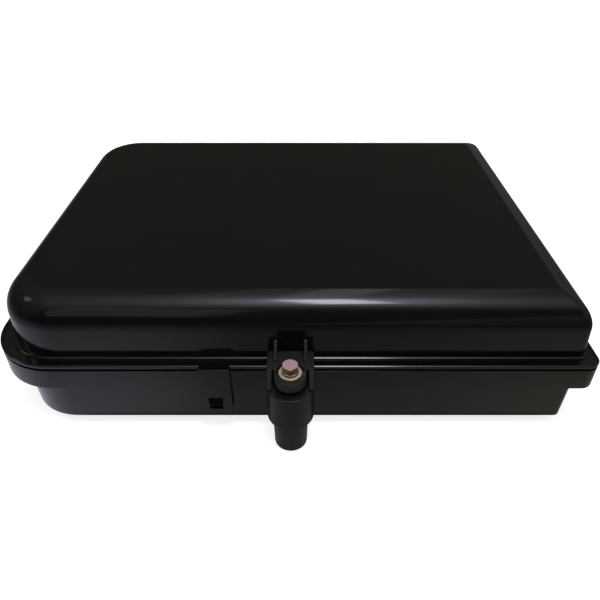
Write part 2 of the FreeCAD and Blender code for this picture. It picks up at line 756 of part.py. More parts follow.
UPPER = "cassette_base + cassette_height"
COVER = "cassette_base + 2 * cassette_height"
for level, bottom in (("lower", "cassette_base"), ("upper", UPPER)):
    cassette(level, bottom)
    block = box(f"comb_{level}", "cassette_x - 20", -23, f"{bottom} + cassette_wall", 40, 46, 6)
    slots = [
        box(f"comb_{level}_slot_{i}", "cassette_x - 21", f"3.6 * ({i} - 5.5) - 1.4",
            f"{bottom} + cassette_wall + 1.8", 42, 2.8, 6)
        for i in range(12)
    ]
    node(cut(f"comb_{level}_cut", block, slots), f"splice_comb_{level}")
lid_plate = new_body("cassette_lid")
sketch = new_sketch(lid_plate, "XY_Plane", "cassette_lid_outline", COVER)
add_outline(sketch, "cassette_length / 2", "cassette_length / 2", "cassette_width / 2",
            "cassette_corner", "cassette_corner")
pad(lid_plate, sketch, "cassette_cover")
bind(lid_plate, Placement__Base__x="cassette_x")
node(
    cut("cassette_lid_cut", lid_plate, [
        cylinder(f"cassette_lid_hole_{side}", "stud_radius + 0.15", 10,
                 f"cassette_x + {sign} * stud_spread", 0, f"{COVER} - 4")
        for side, sign in (("left", -1), ("right", 1))
    ]),
    "splice_tray_cover",
)
for side, sign in (("left", -1), ("right", 1)):
    x = f"cassette_x + {sign} * stud_spread"
    node(
        cylinder(f"stud_{side}", "stud_radius", f"{COVER} + cassette_cover + 9 - (cassette_base - 6)",
                 x, 0, "cassette_base - 6"),
        f"tray_stud_{side}",
    )
    nut_z = f"{COVER} + cassette_cover"
    node(
        cut(f"nut_{side}_cut",
            fuse(f"nut_{side}_solid", [
                cylinder(f"nut_{side}_flange", 5, 2, x, 0, nut_z),
                prism(f"nut_{side}_grip", 12, 7.5, 5, x, 0, f"{nut_z} + 2"),
            ]),
            [cylinder(f"nut_{side}_bore", "stud_radius + 0.02", 20, x, 0, f"{nut_z} - 5")]),
        f"tray_nut_{side}",
    )

# Adapter bracket with twelve adapters and their caps
bracket = fuse("bracket_solid", [
    box("bracket_plate", "bracket_x", "-bracket_width / 2", FLOOR, "bracket_sheet", "bracket_width", "bracket_height"),
    box("bracket_sole", "bracket_x - bracket_foot", "-bracket_width / 2", FLOOR,
        "bracket_foot + bracket_sheet", "bracket_width", "bracket_sheet"),
])
openings = [
    box(f"adapter_opening_{number:02d}", "bracket_x - 2", f"{y} - adapter_wide / 2 - 0.1",
        "adapter_height - adapter_tall / 2 - 0.1", 6, "adapter_wide + 0.2", "adapter_tall + 0.2")
    for number, y in drop_positions()
]
openings += [
    cylinder(f"bracket_slot_{name}", "screw_radius + 0.3", 10, BRACKET_SCREW_X, y, f"{FLOOR} - 4")
    for name, y in BRACKET_SCREWS
]
node(cut("bracket_cut", bracket, openings), "adapter_bracket")


def screw(name, x, y, seat):
    """A pan-head screw."""
    return fuse(name, [
        cylinder(f"{name}_shank", "screw_radius", 7, x, y, f"{seat} - 6"),
        cylinder(f"{name}_head", 3.6, 2.2, x, y, seat),
    ])


node(
    group("bracket_screw_set", [
        screw(f"bracket_screw_{name}", BRACKET_SCREW_X, y, f"{FLOOR} + bracket_sheet")
        for name, y in BRACKET_SCREWS
    ]),
    "adapter_bracket_screws",
)
caps = []
for number, y in drop_positions():
    name = f"adapter_{number:02d}"
    middle = "bracket_x - adapter_length / 2 + bracket_sheet + 2"
    shell = fuse(f"{name}_solid", [
        box(f"{name}_body", middle, f"{y} - adapter_wide / 2", "adapter_height - adapter_tall / 2",
            "adapter_length", "adapter_wide", "adapter_tall"),
        box(f"{name}_flange", "bracket_x + bracket_sheet", f"{y} - adapter_wide / 2", "adapter_height - 11",
            2, "adapter_wide", 22),
    ])
    socket = ("adapter_wide - 1.8", "adapter_tall - 3")
    node(
        cut(f"{name}_cut", shell, [
            box(f"{name}_socket_{end}", x, f"{y} - ({socket[0]}) / 2", f"adapter_height - ({socket[1]}) / 2",
                11, *socket)
            for end, x in (("in", f"{middle} - 1"), ("out", f"{middle} + adapter_length - 10"))
        ]),
        f"fibre_adapter_{number:02d}",
    )
    for end, plug_x, grip_x in (
        ("in", middle, f"{middle} - 4"),
        ("out", f"{middle} + adapter_length - 8", f"{middle} + adapter_length"),
    ):
        caps.append(
            fuse(f"{name}_cap_{end}", [
                box(f"{name}_cap_plug_{end}", plug_x, f"{y} - 3.5", "adapter_height - 4.7", 8, 7, 9.4),
                box(f"{name}_cap_grip_{end}", grip_x, f"{y} - 4.2", "adapter_height - 5.8", 4, 8.4, 11.6),
            ])
        )
node(group("cap_set", caps), "adapter_dust_caps")

# Feeder glands: threaded body through the wall, locknut inside, seal and dome nut outside
ALONG = (1, 0, 0)
for side, sign in (("front", -1), ("rear", 1)):
    y = f"{sign} * gland_offset"

    def ring(name, outer_parts, bores, y=y):
        return cut(name + "_cut", outer_parts[0] if len(outer_parts) == 1 else fuse(name + "_solid", outer_parts), [
            cylinder(f"{name}_bore_{i}", radius, length, x, y, "port_height", ALONG)
            for i, (radius, length, x) in enumerate(bores)
        ])

    name = f"gland_body_{side}"
    node(
        ring(name, [
            cylinder(f"{name}_thread", "gland_thread", 15, "port_face - 12", y, "port_height", ALONG),
            cylinder(f"{name}_flange", 10.5, 3, "port_face", y, "port_height", ALONG),
            cylinder(f"{name}_neck", 7.4, 4.5, "port_face + 3", y, "port_height", ALONG),
        ], [("gland_bore", 60, "port_face - 30")]),
        f"cable_gland_body_{side}",
    )
    name = f"gland_seal_{side}"
    node(
        ring(name, [cylinder(f"{name}_sleeve", 7.4, 3.4, "port_face + 7.5", y, "port_height", ALONG)],
             [("gland_bore", 60, "port_face - 30")]),
        f"cable_gland_seal_{side}",
    )
    name = f"gland_nut_{side}"
    node(
        ring(name, [
            cylinder(f"{name}_barrel", 9.6, 7, "port_face + 3.2", y, "port_height", ALONG),
            cone(f"{name}_dome", 9.6, 8, 3, "port_face + 10.2", y, "port_height", ALONG),
        ], [("gland_bore", 60, "port_face - 30"), (7.45, 7.75, "port_face + 3.2")]),
        f"cable_gland_nut_{side}",
    )
    name = f"gland_locknut_{side}"
    node(
        ring(name, [prism(f"{name}_hexagon", 6, 12.2, 4, "port_face - 10.3", y, "port_height", ALONG)],
             [("gland_thread + 0.02", 20, "port_face - 18")]),
        f"cable_gland_locknut_{side}",
    )

# Rubber plugs in the drop ports
for number, y in drop_positions():
    name = f"plug_{number:02d}"
    node(
        fuse(name, [
            cylinder(f"{name}_head", 6.2, 2, "port_face", y, "port_height", ALONG),
            cylinder(f"{name}_neck", "drop_radius", 9, "port_face - 8", y, "port_height", ALONG),
            cone(f"{name}_barb", 4.2, 5.2, 2, "port_face - 8.4", y, "port_height", ALONG),
        ]),
        f"drop_port_plug_{number:02d}",
    )

# Saddles over the feeder cables
for side, sign in (("front", -1), ("rear", 1)):
    y = f"{sign} * gland_offset"
    name = f"saddle_{side}"
    begin = "clamp_x - clamp_wide / 2"
    arch = fuse(f"{name}_solid", [
        box(f"{name}_sole", begin, f"{y} - clamp_pitch - 6", "clamp_seat",
            "clamp_wide", "2 * clamp_pitch + 12", "clamp_sheet"),
        cylinder(f"{name}_arch", "gland_bore + clamp_sheet", "clamp_wide", begin, y, "port_height", ALONG),
    ])
    tools = [
        cylinder(f"{name}_channel", "gland_bore", 40, f"{begin} - 10", y, "port_height", ALONG),
        box(f"{name}_below", f"{begin} - 10", f"{y} - 12", "clamp_seat - 20", 40, 24, 20),
        box(f"{name}_throat", f"{begin} - 10", f"{y} - gland_bore", "clamp_seat - 1",
            40, "2 * gland_bore", "port_height - clamp_seat + 1"),
    ]
    tools += [
        cylinder(f"{name}_hole_{end}", "screw_radius + 0.3", 10, "clamp_x", f"{y} + {turn} * clamp_pitch",
                 "clamp_seat - 2")
        for end, turn in (("a", -1), ("b", 1))
    ]
    node(cut(f"{name}_cut", arch, tools), f"cable_clamp_{side}")
node(
    group("clamp_screw_set", [
        screw(f"clamp_screw_{name}", "clamp_x", y, "clamp_seat + clamp_sheet") for name, y in CLAMP_SCREWS
    ]),
    "cable_clamp_screws",
)

DOC.recompute()
faults = [o.Name for o in DOC.Objects if "Invalid" in o.State or "Error" in o.State]
if faults:
    raise RuntimeError(f"failed objects: {faults}")
for thing in NODES:
    if thing.Shape.isNull() or not thing.Shape.isValid() or not thing.Shape.Solids:
        raise RuntimeError(f"bad shape: {thing.Label}")
os.makedirs("parts", exist_ok=True)
for thing in NODES:
    thing.Shape.exportStep(f"parts/{thing.Label}.step")
    print(thing.Label, len(thing.Shape.Solids), round(thing.Shape.Volume / 1000, 2), "cm3")
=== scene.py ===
"""Looks of a fibre termination box: moulded lid and base, lock hardware and the finish of every part."""

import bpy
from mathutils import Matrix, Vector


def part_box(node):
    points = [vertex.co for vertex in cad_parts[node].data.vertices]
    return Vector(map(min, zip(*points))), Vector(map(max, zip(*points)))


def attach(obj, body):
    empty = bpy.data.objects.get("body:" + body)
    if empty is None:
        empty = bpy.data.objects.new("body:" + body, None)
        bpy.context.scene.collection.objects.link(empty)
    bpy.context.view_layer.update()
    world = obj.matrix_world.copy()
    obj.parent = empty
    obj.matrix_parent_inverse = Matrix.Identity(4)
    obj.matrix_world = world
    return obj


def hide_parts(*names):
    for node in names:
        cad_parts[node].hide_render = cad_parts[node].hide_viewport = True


bl_info = {
    "name": "Fibre Termination Box",
    "version": (1, 0, 0),
    "blender": (4, 5, 0),
    "location": "View3D > Sidebar > Fibre Box",
    "description": "Builds the mouldings, the lock hardware and the finishes around the packed solids",
    "category": "Object",
}

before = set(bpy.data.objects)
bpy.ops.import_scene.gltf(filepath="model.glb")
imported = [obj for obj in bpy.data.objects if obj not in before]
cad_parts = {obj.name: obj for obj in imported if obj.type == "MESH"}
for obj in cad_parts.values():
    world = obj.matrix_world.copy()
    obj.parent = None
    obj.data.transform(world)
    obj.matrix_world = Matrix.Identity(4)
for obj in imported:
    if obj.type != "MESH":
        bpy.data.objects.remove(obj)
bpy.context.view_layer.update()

import math

import bmesh
import bpy
from bpy.props import FloatProperty, FloatVectorProperty, PointerProperty
from bpy.types import Operator, Panel, PropertyGroup
from mathutils import Matrix, Vector

# Steps in the arcs of the left and right corners and of the lid's dome, and round the hinge and the lock
LEFT_STEPS, RIGHT_STEPS, DOME_STEPS, HINGE_STEPS, LOCK_STEPS = 28, 12, 24, 48, 96
# Edges that turn by more than this stay sharp
SHARP_ANGLE = math.radians(32)
# Distances within which points are one point, and within which a seam left open is closed
SAME_POINT, OPEN_SEAM = 2e-6, 3e-5
# Depths of the grain on mouldings and of the lines on metal
GRAIN_DEPTH, LINE_DEPTH = 0.00002, 0.00001
# How much a moulding's roughness varies, as a share of it, and how much more rubbed edges have
GLOSS_SHARE, RUBBED_ROUGHNESS = 0.3, 0.12
# How far a face stands before the box's front to count as part of the lock
AHEAD = 0.0002
# Height of each lock washer, and thickness of each cheek of the hasp
WASHER, CHEEK = 0.0016, 0.004
# Radius of the hinge pins' bores in the lid and in the base
LID_BORE, BASE_BORE = 0.00255, 0.0025
# Lengths of the lid's knuckles and the base's lugs, and where a hinge's two lugs begin beside its middle
KNUCKLE_LENGTH, LUG_LENGTH, LUG_BEGINS = 0.040, 0.010, (-0.0305, 0.0205)

# Places of the feet, studs, clamps and bracket on the base's floor
FEET = [(x, y) for x in (-0.130, 0.130) for y in (-0.100, 0.100)]
STUDS = [(-0.120, 0), (0.040, 0)]
CLAMPS = [(0.160, y) for y in (-0.140, -0.110, 0.110, 0.140)]
BRACKET = [(0.084, y) for y in (-0.080, 0.0, 0.080)]
# Round bosses on the base: name, places, radius, lower end, upper end, edge radius, steps round
BOSSES = (
    ("foot", FEET, 0.012, 0.0, 0.0095, 0.0008, 64),
    ("stud_boss", STUDS, 0.006, 0.0098, 0.016, 0.0004, 64),
    ("clamp_post", CLAMPS, 0.005, 0.0098, 0.020, 0.0004, 40),
    ("bracket_boss", BRACKET, 0.005, 0.003, 0.0092, 0.0005, 40),
)
# Round holes in the base, in the same order
HOLES = (
    ("fixing", FEET, 0.00275, -0.001, 0.013, 0.0, 40),
    ("stud_hole", STUDS, 0.002, 0.010, 0.018, 0.0, 32),
    ("clamp_hole", CLAMPS, 0.0019, 0.012, 0.021, 0.0, 32),
    ("bracket_hole", BRACKET, 0.0019, 0.0045, 0.0125, 0.0, 32),
)
# Bores on the lock's axis: name, radius, lower end, upper end
LOCK_BORES = (("insert_seat", 0.0045, 0.0473, 0.060), ("bolt_room", 0.0035, 0.0355, 0.050))
# Plate on the base's right end, and the ports through it: name, radius, steps round, places along the end
PORT_PLATE = ((0.1975, -0.145, 0.012), (0.2015, 0.145, 0.036))
PORTS = (
    ("feeder_port", 0.008, 64, (-0.125, 0.125)),
    ("drop_port", 0.0045, 40, [0.016 * (i - 5.5) for i in range(12)]),
)
PORT_DEPTH, PORT_HEIGHT = (0.1895, 0.2095), 0.024

# Point of the box that the lights look at, and how far off the lamp and the weak panel stand
AIM, LAMP_OFF, PANEL_OFF = (0.03, -0.14, 0.1), 2.08, 2.0
WHITE = (1, 1, 1)
# Brightness of the room by angle from the lamp, nought to one for a right angle
GLOW = [
    (0.0, (0.93, 0.98, 1.15)), (0.09, (0.78, 0.83, 0.98)), (0.13, (0.56, 0.60, 0.70)),
    (0.17, (0.36, 0.38, 0.43)), (0.21, 0.27), (0.27, 0.19), (0.33, 0.15), (0.40, 0.115),
    (0.49, 0.08), (0.61, 0.07), (0.72, 0.05), (0.86, 0.035), (1.0, 0.02),
]
# Share of that brightness from the front of the room to its back, and what the right wall adds
ROOM_DEPTH = [(0.18, 0.3), (0.28, 1.0), (0.84, 1.0), (0.87, (0.82, 0.80, 0.66))]
RIGHT_WALL = [(0.0, 0.0), (0.05, (0.054, 0.052, 0.044)), (0.2, 0.042), (0.5, 0.026), (0.75, 0.015)]
# Brightness of the painted floor reflection by distance from the box, in shares of its reach, and across its
# width, dimmer before the box's middle as painted shade
REACH, ACROSS = 0.4, 0.9
PAINTED_REFLECTION_NEAR = [(0, 0.66), (0.05, 0.63), (0.10, 0.59), (0.14, 0.52), (0.20, 0.46), (0.24, 0.44), (0.34, 0.28), (1, 0.1)]
PAINTED_REFLECTION_ACROSS = [
    (0.31, (0.96, 0.97, 1.11)), (0.37, (0.83, 0.84, 0.94)), (0.45, 0.42), (0.54, 0.385),
    (0.62, (0.43, 0.425, 0.39)), (0.68, (0.52, 0.51, 0.45)), (0.75, (0.58, 0.56, 0.47)),
]


# Values that a user would change


def size(name, default, description):
    return FloatProperty(name=name, description=description, default=default, unit="LENGTH", precision=5)


def colour(name, default, description):
    return FloatVectorProperty(
        name=name, description=description, default=default, size=4, min=0, max=1, subtype="COLOR"
    )


def number(name, default, description):
    return FloatProperty(name=name, description=description, default=default)


def direction(name, default, description, subtype="DIRECTION"):
    return FloatVectorProperty(name=name, description=description, default=default, subtype=subtype)


class BoxSizes(PropertyGroup):
    """Sizes of the base and lid mouldings"""

    length: size("Rim length", 0.430, "Long side of the rim")
    width: size("Rim width", 0.330, "Short side of the rim")
    corner_left: size("Left corners", 0.048, "Corner radius of the rim at the end without ports")
    corner_right: size("Right corners", 0.010, "Corner radius of the rim at the port end")
    rim_top: size("Rim top", 0.0535, "Height of the rim's sealing face")
    rim_bead: size("Rim bead", 0.0014, "Height of the bead along the rim's outer edge")
    rim_bottom: size("Rim bottom", 0.038, "Height of the skirt's lower edge")
    skirt_wall: size("Skirt wall", 0.003, "Thickness of the hanging skirt")
    tray_inset: size("Tray inset", 0.015, "How far the tray's ends stand behind the rim")
    tray_front: size("Tray front", 0.0002, "How far the tray's long sides stand behind the rim")
    tray_lean: size("Tray lean", 0.0016, "Draft of the tray over its height")
    tray_corner_left: size("Tray left corners", 0.043, "Corner radius of the tray, left end")
    tray_corner_right: size("Tray right corners", 0.006, "Corner radius of the tray, right end")
    tray_bottom: size("Tray bottom", 0.008, "Height of the tray's underside above the wall")
    tray_wall: size("Tray wall", 0.003, "Thickness of the tray's walls and floor")
    flange_bottom: size("Flange bottom", 0.0562, "Underside of the lid's flange")
    flange_plate: size("Flange plate", 0.0024, "Thickness of the lid's flange")
    lip_width: size("Lip width", 0.0023, "Width of the raised lip on the flange")
    lip_rise: size("Lip rise", 0.0007, "Height of the raised lip")
    step_inset: size("Step inset", 0.0075, "How far in the step at the foot of the lid is")
    step_rise: size("Step rise", 0.0016, "Height of that step")
    lid_inset: size("Lid inset", 0.009, "How far in the lid's wall is at its foot")
    lid_lean: size("Lid lean", 0.0009, "Draft of the lid's wall over its height")
    lid_corner_left: size("Lid left corners", 0.044, "Corner radius of the lid's wall, left end")
    lid_corner_right: size("Lid right corners", 0.0052, "Corner radius of the lid's wall, right end")
    lid_top: size("Lid top", 0.103, "Height of the lid's flat top")
    lid_wall: size("Lid wall", 0.003, "Thickness of the lid")
    dome_radius: size("Dome radius", 0.022, "Radius from the lid's wall to its top")
    edge: size("Edge radius", 0.0006, "Radius of the moulded edges")


class LockSizes(PropertyGroup):
    """Sizes of the lock, the snap tongue and the hinge"""

    lock_y: size("Lock line", -0.1783, "Place of the bolt in front of the box's middle")
    tower_radius: size("Tower radius", 0.01615, "Radius of the tower's shell")
    tower_top: size("Tower top", 0.0555, "Height of the tower")
    tower_step: size("Tower step", 0.0279, "Height where the shell meets the column")
    column_radius: size("Column radius", 0.0115, "Radius of the column near its lower end")
    column_draft: size("Column draft", 0.0008, "How much the column widens up to the shell")
    column_bottom: size("Column bottom", 0.0004, "Height of the column's lower end")
    hasp_top: size("Hasp top", 0.0652, "Height of the hasp's plate")
    hasp_front: size("Hasp front", -0.1738, "Front edge of the hasp's plate")
    cheek_front: size("Cheek front", -0.1850, "Front of the sloping cheeks at their foot")
    cheek_bottom: size("Cheek bottom", 0.0564, "Height of the cheeks' lower edge")
    boss_radius: size("Boss radius", 0.0109, "Radius of the boss under the washers")
    boss_bottom: size("Boss bottom", 0.0579, "Height of the boss's underside")
    rib_offset: size("Rib offset", 0.0102, "Place of each gusset rib beside the bolt")
    rib_wall: size("Rib wall", 0.0024, "Thickness of a gusset rib")
    rib_top: size("Rib top", 0.0757, "Height of a rib at the lid's wall")
    rib_front: size("Rib front", -0.1670, "Front end of a rib on the hasp's plate")
    bolt_radius: size("Bolt radius", 0.003, "Radius over the bolt's thread")
    bolt_flats: size("Bolt flats", 0.010, "Width of the bolt's head across its flats")
    bolt_pitch: size("Bolt pitch", 0.001, "Rise of the thread in one turn")
    snap_left: size("Tongue left", -0.06345, "Left side of the snap tongue")
    snap_right: size("Tongue right", -0.04175, "Right side of the snap tongue")
    snap_front: size("Tongue front", -0.1687, "Front face of the snap tongue")
    snap_wall: size("Tongue wall", 0.0026, "Thickness of the snap tongue")
    snap_bottom: size("Tongue bottom", 0.0175, "Lower end of the snap tongue")
    window_left: size("Window left", -0.05815, "Left side of the tongue's window")
    window_right: size("Window right", -0.04805, "Right side of the tongue's window")
    window_bottom: size("Window bottom", 0.0216, "Lower edge of the tongue's window")
    window_top: size("Window top", 0.0328, "Upper edge of the tongue's window")
    hinge_y: size("Hinge line", 0.1725, "Place of the hinge behind the box's middle")
    hinge_z: size("Hinge height", 0.055, "Height of the hinge line")
    hinge_x: size("Hinge spread", 0.120, "Place of each hinge beside the middle")
    knuckle: size("Knuckle radius", 0.00598, "Radius of the hinge's knuckles")


class Finishes(PropertyGroup):
    """Colours of the finishes"""

    housing: colour("Housing", (0.0034, 0.0034, 0.0036, 1), "Black moulding compound")
    housing_edge: colour("Housing edge", (0.012, 0.012, 0.0125, 1), "Black moulding where edges are rubbed")
    dust: colour("Dust", (0.20, 0.19, 0.17, 1), "Dust that settles on flat faces")
    hasp: colour("Hasp", (0.020, 0.0205, 0.0195, 1), "Matt grey-black of the hasp")
    zinc_gold: colour("Zinc gold", (0.19, 0.13, 0.042, 1), "Yellow passivated zinc on sides")
    zinc_olive: colour("Zinc olive", (0.08, 0.063, 0.017, 1), "Green tint of the passivation")
    # Rose and beige go only on faces that look up: painted light on the tops, over the zinc's own tints
    rose_painted_lit_top: colour("Zinc rose", (0.90, 0.55, 0.58, 1), "Rose tint on the bolt's head")
    beige_painted_lit_top: colour("Zinc beige", (0.86, 0.67, 0.54, 1), "Pale tint on the washers")
    rubber: colour("Rubber", (0.012, 0.012, 0.013, 1), "Seals and plugs")
    comb: colour("Comb", (0.055, 0.058, 0.062, 1), "Soft combs for the splice sleeves")
    brass: colour("Brass", (0.58, 0.40, 0.16, 1), "Threaded bush")
    steel: colour("Steel", (0.42, 0.42, 0.43, 1), "Pins, studs and screws")
    bracket: colour("Bracket", (0.50, 0.51, 0.52, 1), "Galvanised sheet")
    tray: colour("Tray", (0.56, 0.57, 0.56, 1), "Light moulding of the splice trays")
    cover: colour("Cover", (0.80, 0.86, 0.88, 1), "Clear cover of the splice trays")
    nut: colour("Thumb nut", (0.30, 0.31, 0.33, 1), "Grey moulding of the thumb nuts")
    adapter: colour("Adapter", (0.018, 0.165, 0.050, 1), "Green moulding of the adapters")
    cap: colour("Cap", (0.62, 0.63, 0.60, 1), "Pale caps in the adapters")
    gland: colour("Gland", (0.016, 0.016, 0.017, 1), "Black moulding of the cable glands")


class StageValues(PropertyGroup):
    """Camera, floor and lights"""

    camera: direction("Camera", (0.00561, -0.44820, 0.32372), "Place of the camera", "XYZ")
    pitch: FloatProperty(
        name="Pitch", description="How far the camera looks down", default=math.radians(36.281), subtype="ANGLE"
    )
    lens: number("Lens", 33.757, "Focal length on a 36 mm wide frame, in millimetres")
    shift: number("Shift", 0.00206, "Sideways shift of the frame")
    floor: colour("Floor", (0.86, 0.86, 0.86, 1), "Pale floor")
    glow: number("Ceiling glow", 2.6, "Brightness of the ceiling beside the lamp")
    strip: number("Lamp", 7.0, "Power of the lamp overhead, in watts")
    lamp: direction("Lamp direction", (0.063, -0.187, 0.980), "Where the lamp stands as seen from the box")
    panel: direction("Panel direction", (-0.338, -0.733, 0.594), "Where the weak panel stands, likewise")
    panel_power: number("Panel", 0.72, "Power of the weak panel at the left, in watts")


# Mesh building


def finish_bmesh(name, bm):
    bmesh.ops.recalc_face_normals(bm, faces=bm.faces)
    mesh = bpy.data.meshes.new(name)
    bm.to_mesh(mesh)
    bm.free()
    piece = bpy.data.objects.new(name, mesh)
    bpy.context.scene.collection.objects.link(piece)
    return piece


def rounded(*corners, steps=4, closed=False):
    """Points of a flat path whose corners, given as (u, v, radius), are turned into arcs."""
    points = []
    last = len(corners) - 1
    for i, (u, v, radius) in enumerate(corners):
        here = Vector((u, v))
        if radius == 0 or (not closed and i in (0, last)):
            points.append(here)
            continue
        back = (Vector(corners[i - 1][:2]) - here).normalized()
        ahead = (Vector(corners[(i + 1) % len(corners)][:2]) - here).normalized()
        half = back.angle(ahead) / 2
        centre = here + (back + ahead).normalized() * radius / math.sin(half)
        first = here + back * radius / math.tan(half) - centre
        second = here + ahead * radius / math.tan(half) - centre
        begin = math.atan2(first.y, first.x)
        sweep = math.atan2(first.x * second.y - first.y * second.x, first.dot(second))
        for k in range(steps + 1):
            angle = begin + sweep * k / steps
            points.append(centre + radius * Vector((math.cos(angle), math.sin(angle))))
    return points


def outline(half_x, half_y, corner_left, corner_right, z):
    """One ring round a rectangle that has its own corner radius at each end."""
    corners = [
        (half_x - corner_right, corner_right - half_y, corner_right, 270, RIGHT_STEPS),
        (half_x - corner_right, half_y - corner_right, corner_right, 0, RIGHT_STEPS),
        (corner_left - half_x, half_y - corner_left, corner_left, 90, LEFT_STEPS),
        (corner_left - half_x, corner_left - half_y, corner_left, 180, LEFT_STEPS),
    ]
    ring = []
    for x, y, radius, begin, steps in corners:
        for k in range(steps + 1):
            angle = math.radians(begin + 90 * k / steps)
            ring.append((x + radius * math.cos(angle), y + radius * math.sin(angle), z))
    return ring


def ring_faces(rings, endless=False):
    """Faces through rings of equal length or single points, capped at both ends or joined end to start."""
    bm = bmesh.new()
    loops = [[bm.verts.new(point) for point in ring] for ring in rings]
    pairs = list(zip(loops, loops[1:]))
    if endless:
        pairs.append((loops[-1], loops[0]))
    else:
        for cap in (loops[0], loops[-1]):
            if len(cap) > 1:
                bm.faces.new(cap)
    for low, high in pairs:
        count = max(len(low), len(high))
        for i in range(count):
            j = (i + 1) % count
            ends = (low[i % len(low)], low[j % len(low)], high[j % len(high)], high[i % len(high)])
            corners = list(dict.fromkeys(ends))
            if len(corners) > 2:
                bm.faces.new(corners)
    bmesh.ops.recalc_face_normals(bm, faces=bm.faces)
    return bm


def skin(name, rings, endless=False):
    """A closed solid through rings."""
    return finish_bmesh(name, ring_faces(rings, endless))


def bar(name, section, begin, end, along="X", edge=0.0, segments=2):
    """A straight bar: a flat section of (u, v) points drawn along one axis, with its edges rounded."""
    place = {
        "X": lambda u, v, w: (w, u, v),
        "Y": lambda u, v, w: (u, w, v),
        "Z": lambda u, v, w: (u, v, w),
    }[along]
    bm = ring_faces([[place(u, v, w) for u, v in section] for w in (begin, end)])
    if edge:
        keen = [e for e in bm.edges if e.calc_face_angle(0) > SHARP_ANGLE]
        bmesh.ops.bevel(bm, geom=keen, offset=edge, segments=segments, profile=0.5, affect="EDGES")
    return finish_bmesh(name, bm)


def block(name, low, high, edge=0.0):
    section = [(low[0], low[1]), (high[0], low[1]), (high[0], high[1]), (low[0], high[1])]
    return bar(name, section, low[2], high[2], "Z", edge)


def turned(name, profile, origin, along="Z", steps=64, endless=False):
    """A profile of (radius, height) pairs turned round an axis."""
    x, y, z = origin
    place = {
        "X": lambda r, h, c, s: (x + h, y + r * c, z + r * s),
        "Z": lambda r, h, c, s: (x + r * c, y + r * s, z + h),
    }[along]
    rings = []
    for radius, height in profile:
        count = steps if radius > 1e-9 else 1
        turns = [2 * math.pi * k / steps for k in range(count)]
        rings.append([place(radius, height, math.cos(t), math.sin(t)) for t in turns])
    return skin(name, rings, endless)


def rod(name, radius, begin, end, origin, along="Z", edge=0.0, steps=64):
    """A round bar with rounded ends, between two heights along its axis."""
    profile = rounded((0, begin, 0), (radius, begin, edge), (radius, end, edge), (0, end, 0), steps=3)
    return turned(name, profile, origin, along, steps)


def rods(rows):
    """An upright rod at each place of each row."""
    return [
        rod(name, radius, low, high, (x, y, 0), edge=edge, steps=steps)
        for name, places, radius, low, high, edge, steps in rows
        for x, y in places
    ]


def knuckle(name, k, begin, length, arm, inset):
    """A rod on the hinge line with the arm that carries it."""
    line = (0, k.hinge_y, k.hinge_z)
    return [
        rod(name, k.knuckle, begin, begin + length, line, "X", 0.0005, HINGE_STEPS),
        bar(name + "_arm", arm, begin + inset, begin + (length - inset), edge=0.0003),
    ]


def combine(piece, tools, operation):
    """Joins or cuts the piece with each tool, which is used up."""
    for tool in tools:
        step = piece.modifiers.new("combine", "BOOLEAN")
        step.operation = operation
        step.solver = "EXACT"
        step.object = tool
        graph = bpy.context.evaluated_depsgraph_get()
        made = bpy.data.meshes.new_from_object(piece.evaluated_get(graph))
        piece.modifiers.clear()
        old = piece.data
        made.name = old.name
        piece.data = made
        bpy.data.meshes.remove(old)
        bpy.data.objects.remove(tool)
    if not piece.data.polygons:
        raise RuntimeError(f"{piece.name} came out empty")
    return piece


def clean(piece):
    """Removes slivers, closes the holes they leave, shades smooth and keeps sharp edges sharp."""
    bm = bmesh.new()
    bm.from_mesh(piece.data)
    bmesh.ops.remove_doubles(bm, verts=bm.verts, dist=SAME_POINT)
    bmesh.ops.dissolve_degenerate(bm, edges=bm.edges, dist=SAME_POINT)
    bmesh.ops.delete(bm, geom=[edge for edge in bm.edges if edge.is_wire], context="EDGES")
    bmesh.ops.holes_fill(bm, edges=[edge for edge in bm.edges if edge.is_boundary])
    bmesh.ops.remove_doubles(bm, verts=[vert for vert in bm.verts if vert.is_boundary], dist=OPEN_SEAM)
    bm.to_mesh(piece.data)
    bm.free()
    piece.data.shade_smooth()
    piece.data.set_sharp_from_angle(angle=SHARP_ANGLE)
    weighted = piece.modifiers.new("even_shading", "WEIGHTED_NORMAL")
    weighted.mode = "FACE_AREA"
    weighted.weight = 100
    weighted.keep_sharp = True
    return piece


def settle(context, piece, body, node, slot, *names):
    """Ties a finished piece to its body and its finishes, and hides the node it replaces; the slot is not used.
    """
    looks = finishes(context)
    for name in names:
        piece.data.materials.append(looks[name])
    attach(piece, body)
    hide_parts(node)
    return piece


def pick_faces(piece, finish, test):
    """Gives the faces that the test picks another of the piece's finishes, by its number."""
    for face in piece.data.polygons:
        if test(face.center):
            face.material_index = finish


def paint_solids(context, **parts):
    """Gives solids that are shown as they are, picked by how their names begin, their finishes."""
    looks = finishes(context)
    for finish, beginnings in parts.items():
        for name in sorted(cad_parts):
            if name.startswith(beginnings):
                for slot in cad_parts[name].material_slots:
                    slot.material = looks[finish]
    return {"FINISHED"}


# Shader building


def put(tree, socket, value):
    """Links another node's output to the socket, or sets the socket's own value."""
    if isinstance(value, bpy.types.NodeSocket):
        tree.links.new(value, socket)
    else:
        socket.default_value = value


def feed(tree, item, **inputs):
    """Fills inputs of a node, with an underscore for each space in their names."""
    for label, value in inputs.items():
        put(tree, item.inputs[label.replace("_", " ")], value)
    return item


def add(tree, kind, inputs=None, **settings):
    """A new node with its settings made and its inputs, by name or number, filled."""
    item = tree.nodes.new(kind)
    for name, value in settings.items():
        setattr(item, name, value)
    for key, value in (inputs or {}).items():
        put(tree, item.inputs[key], value)
    return item


def maths(tree, operation, first, second=0.0):
    return add(tree, "ShaderNodeMath", {0: first, 1: second}, operation=operation).outputs[0]


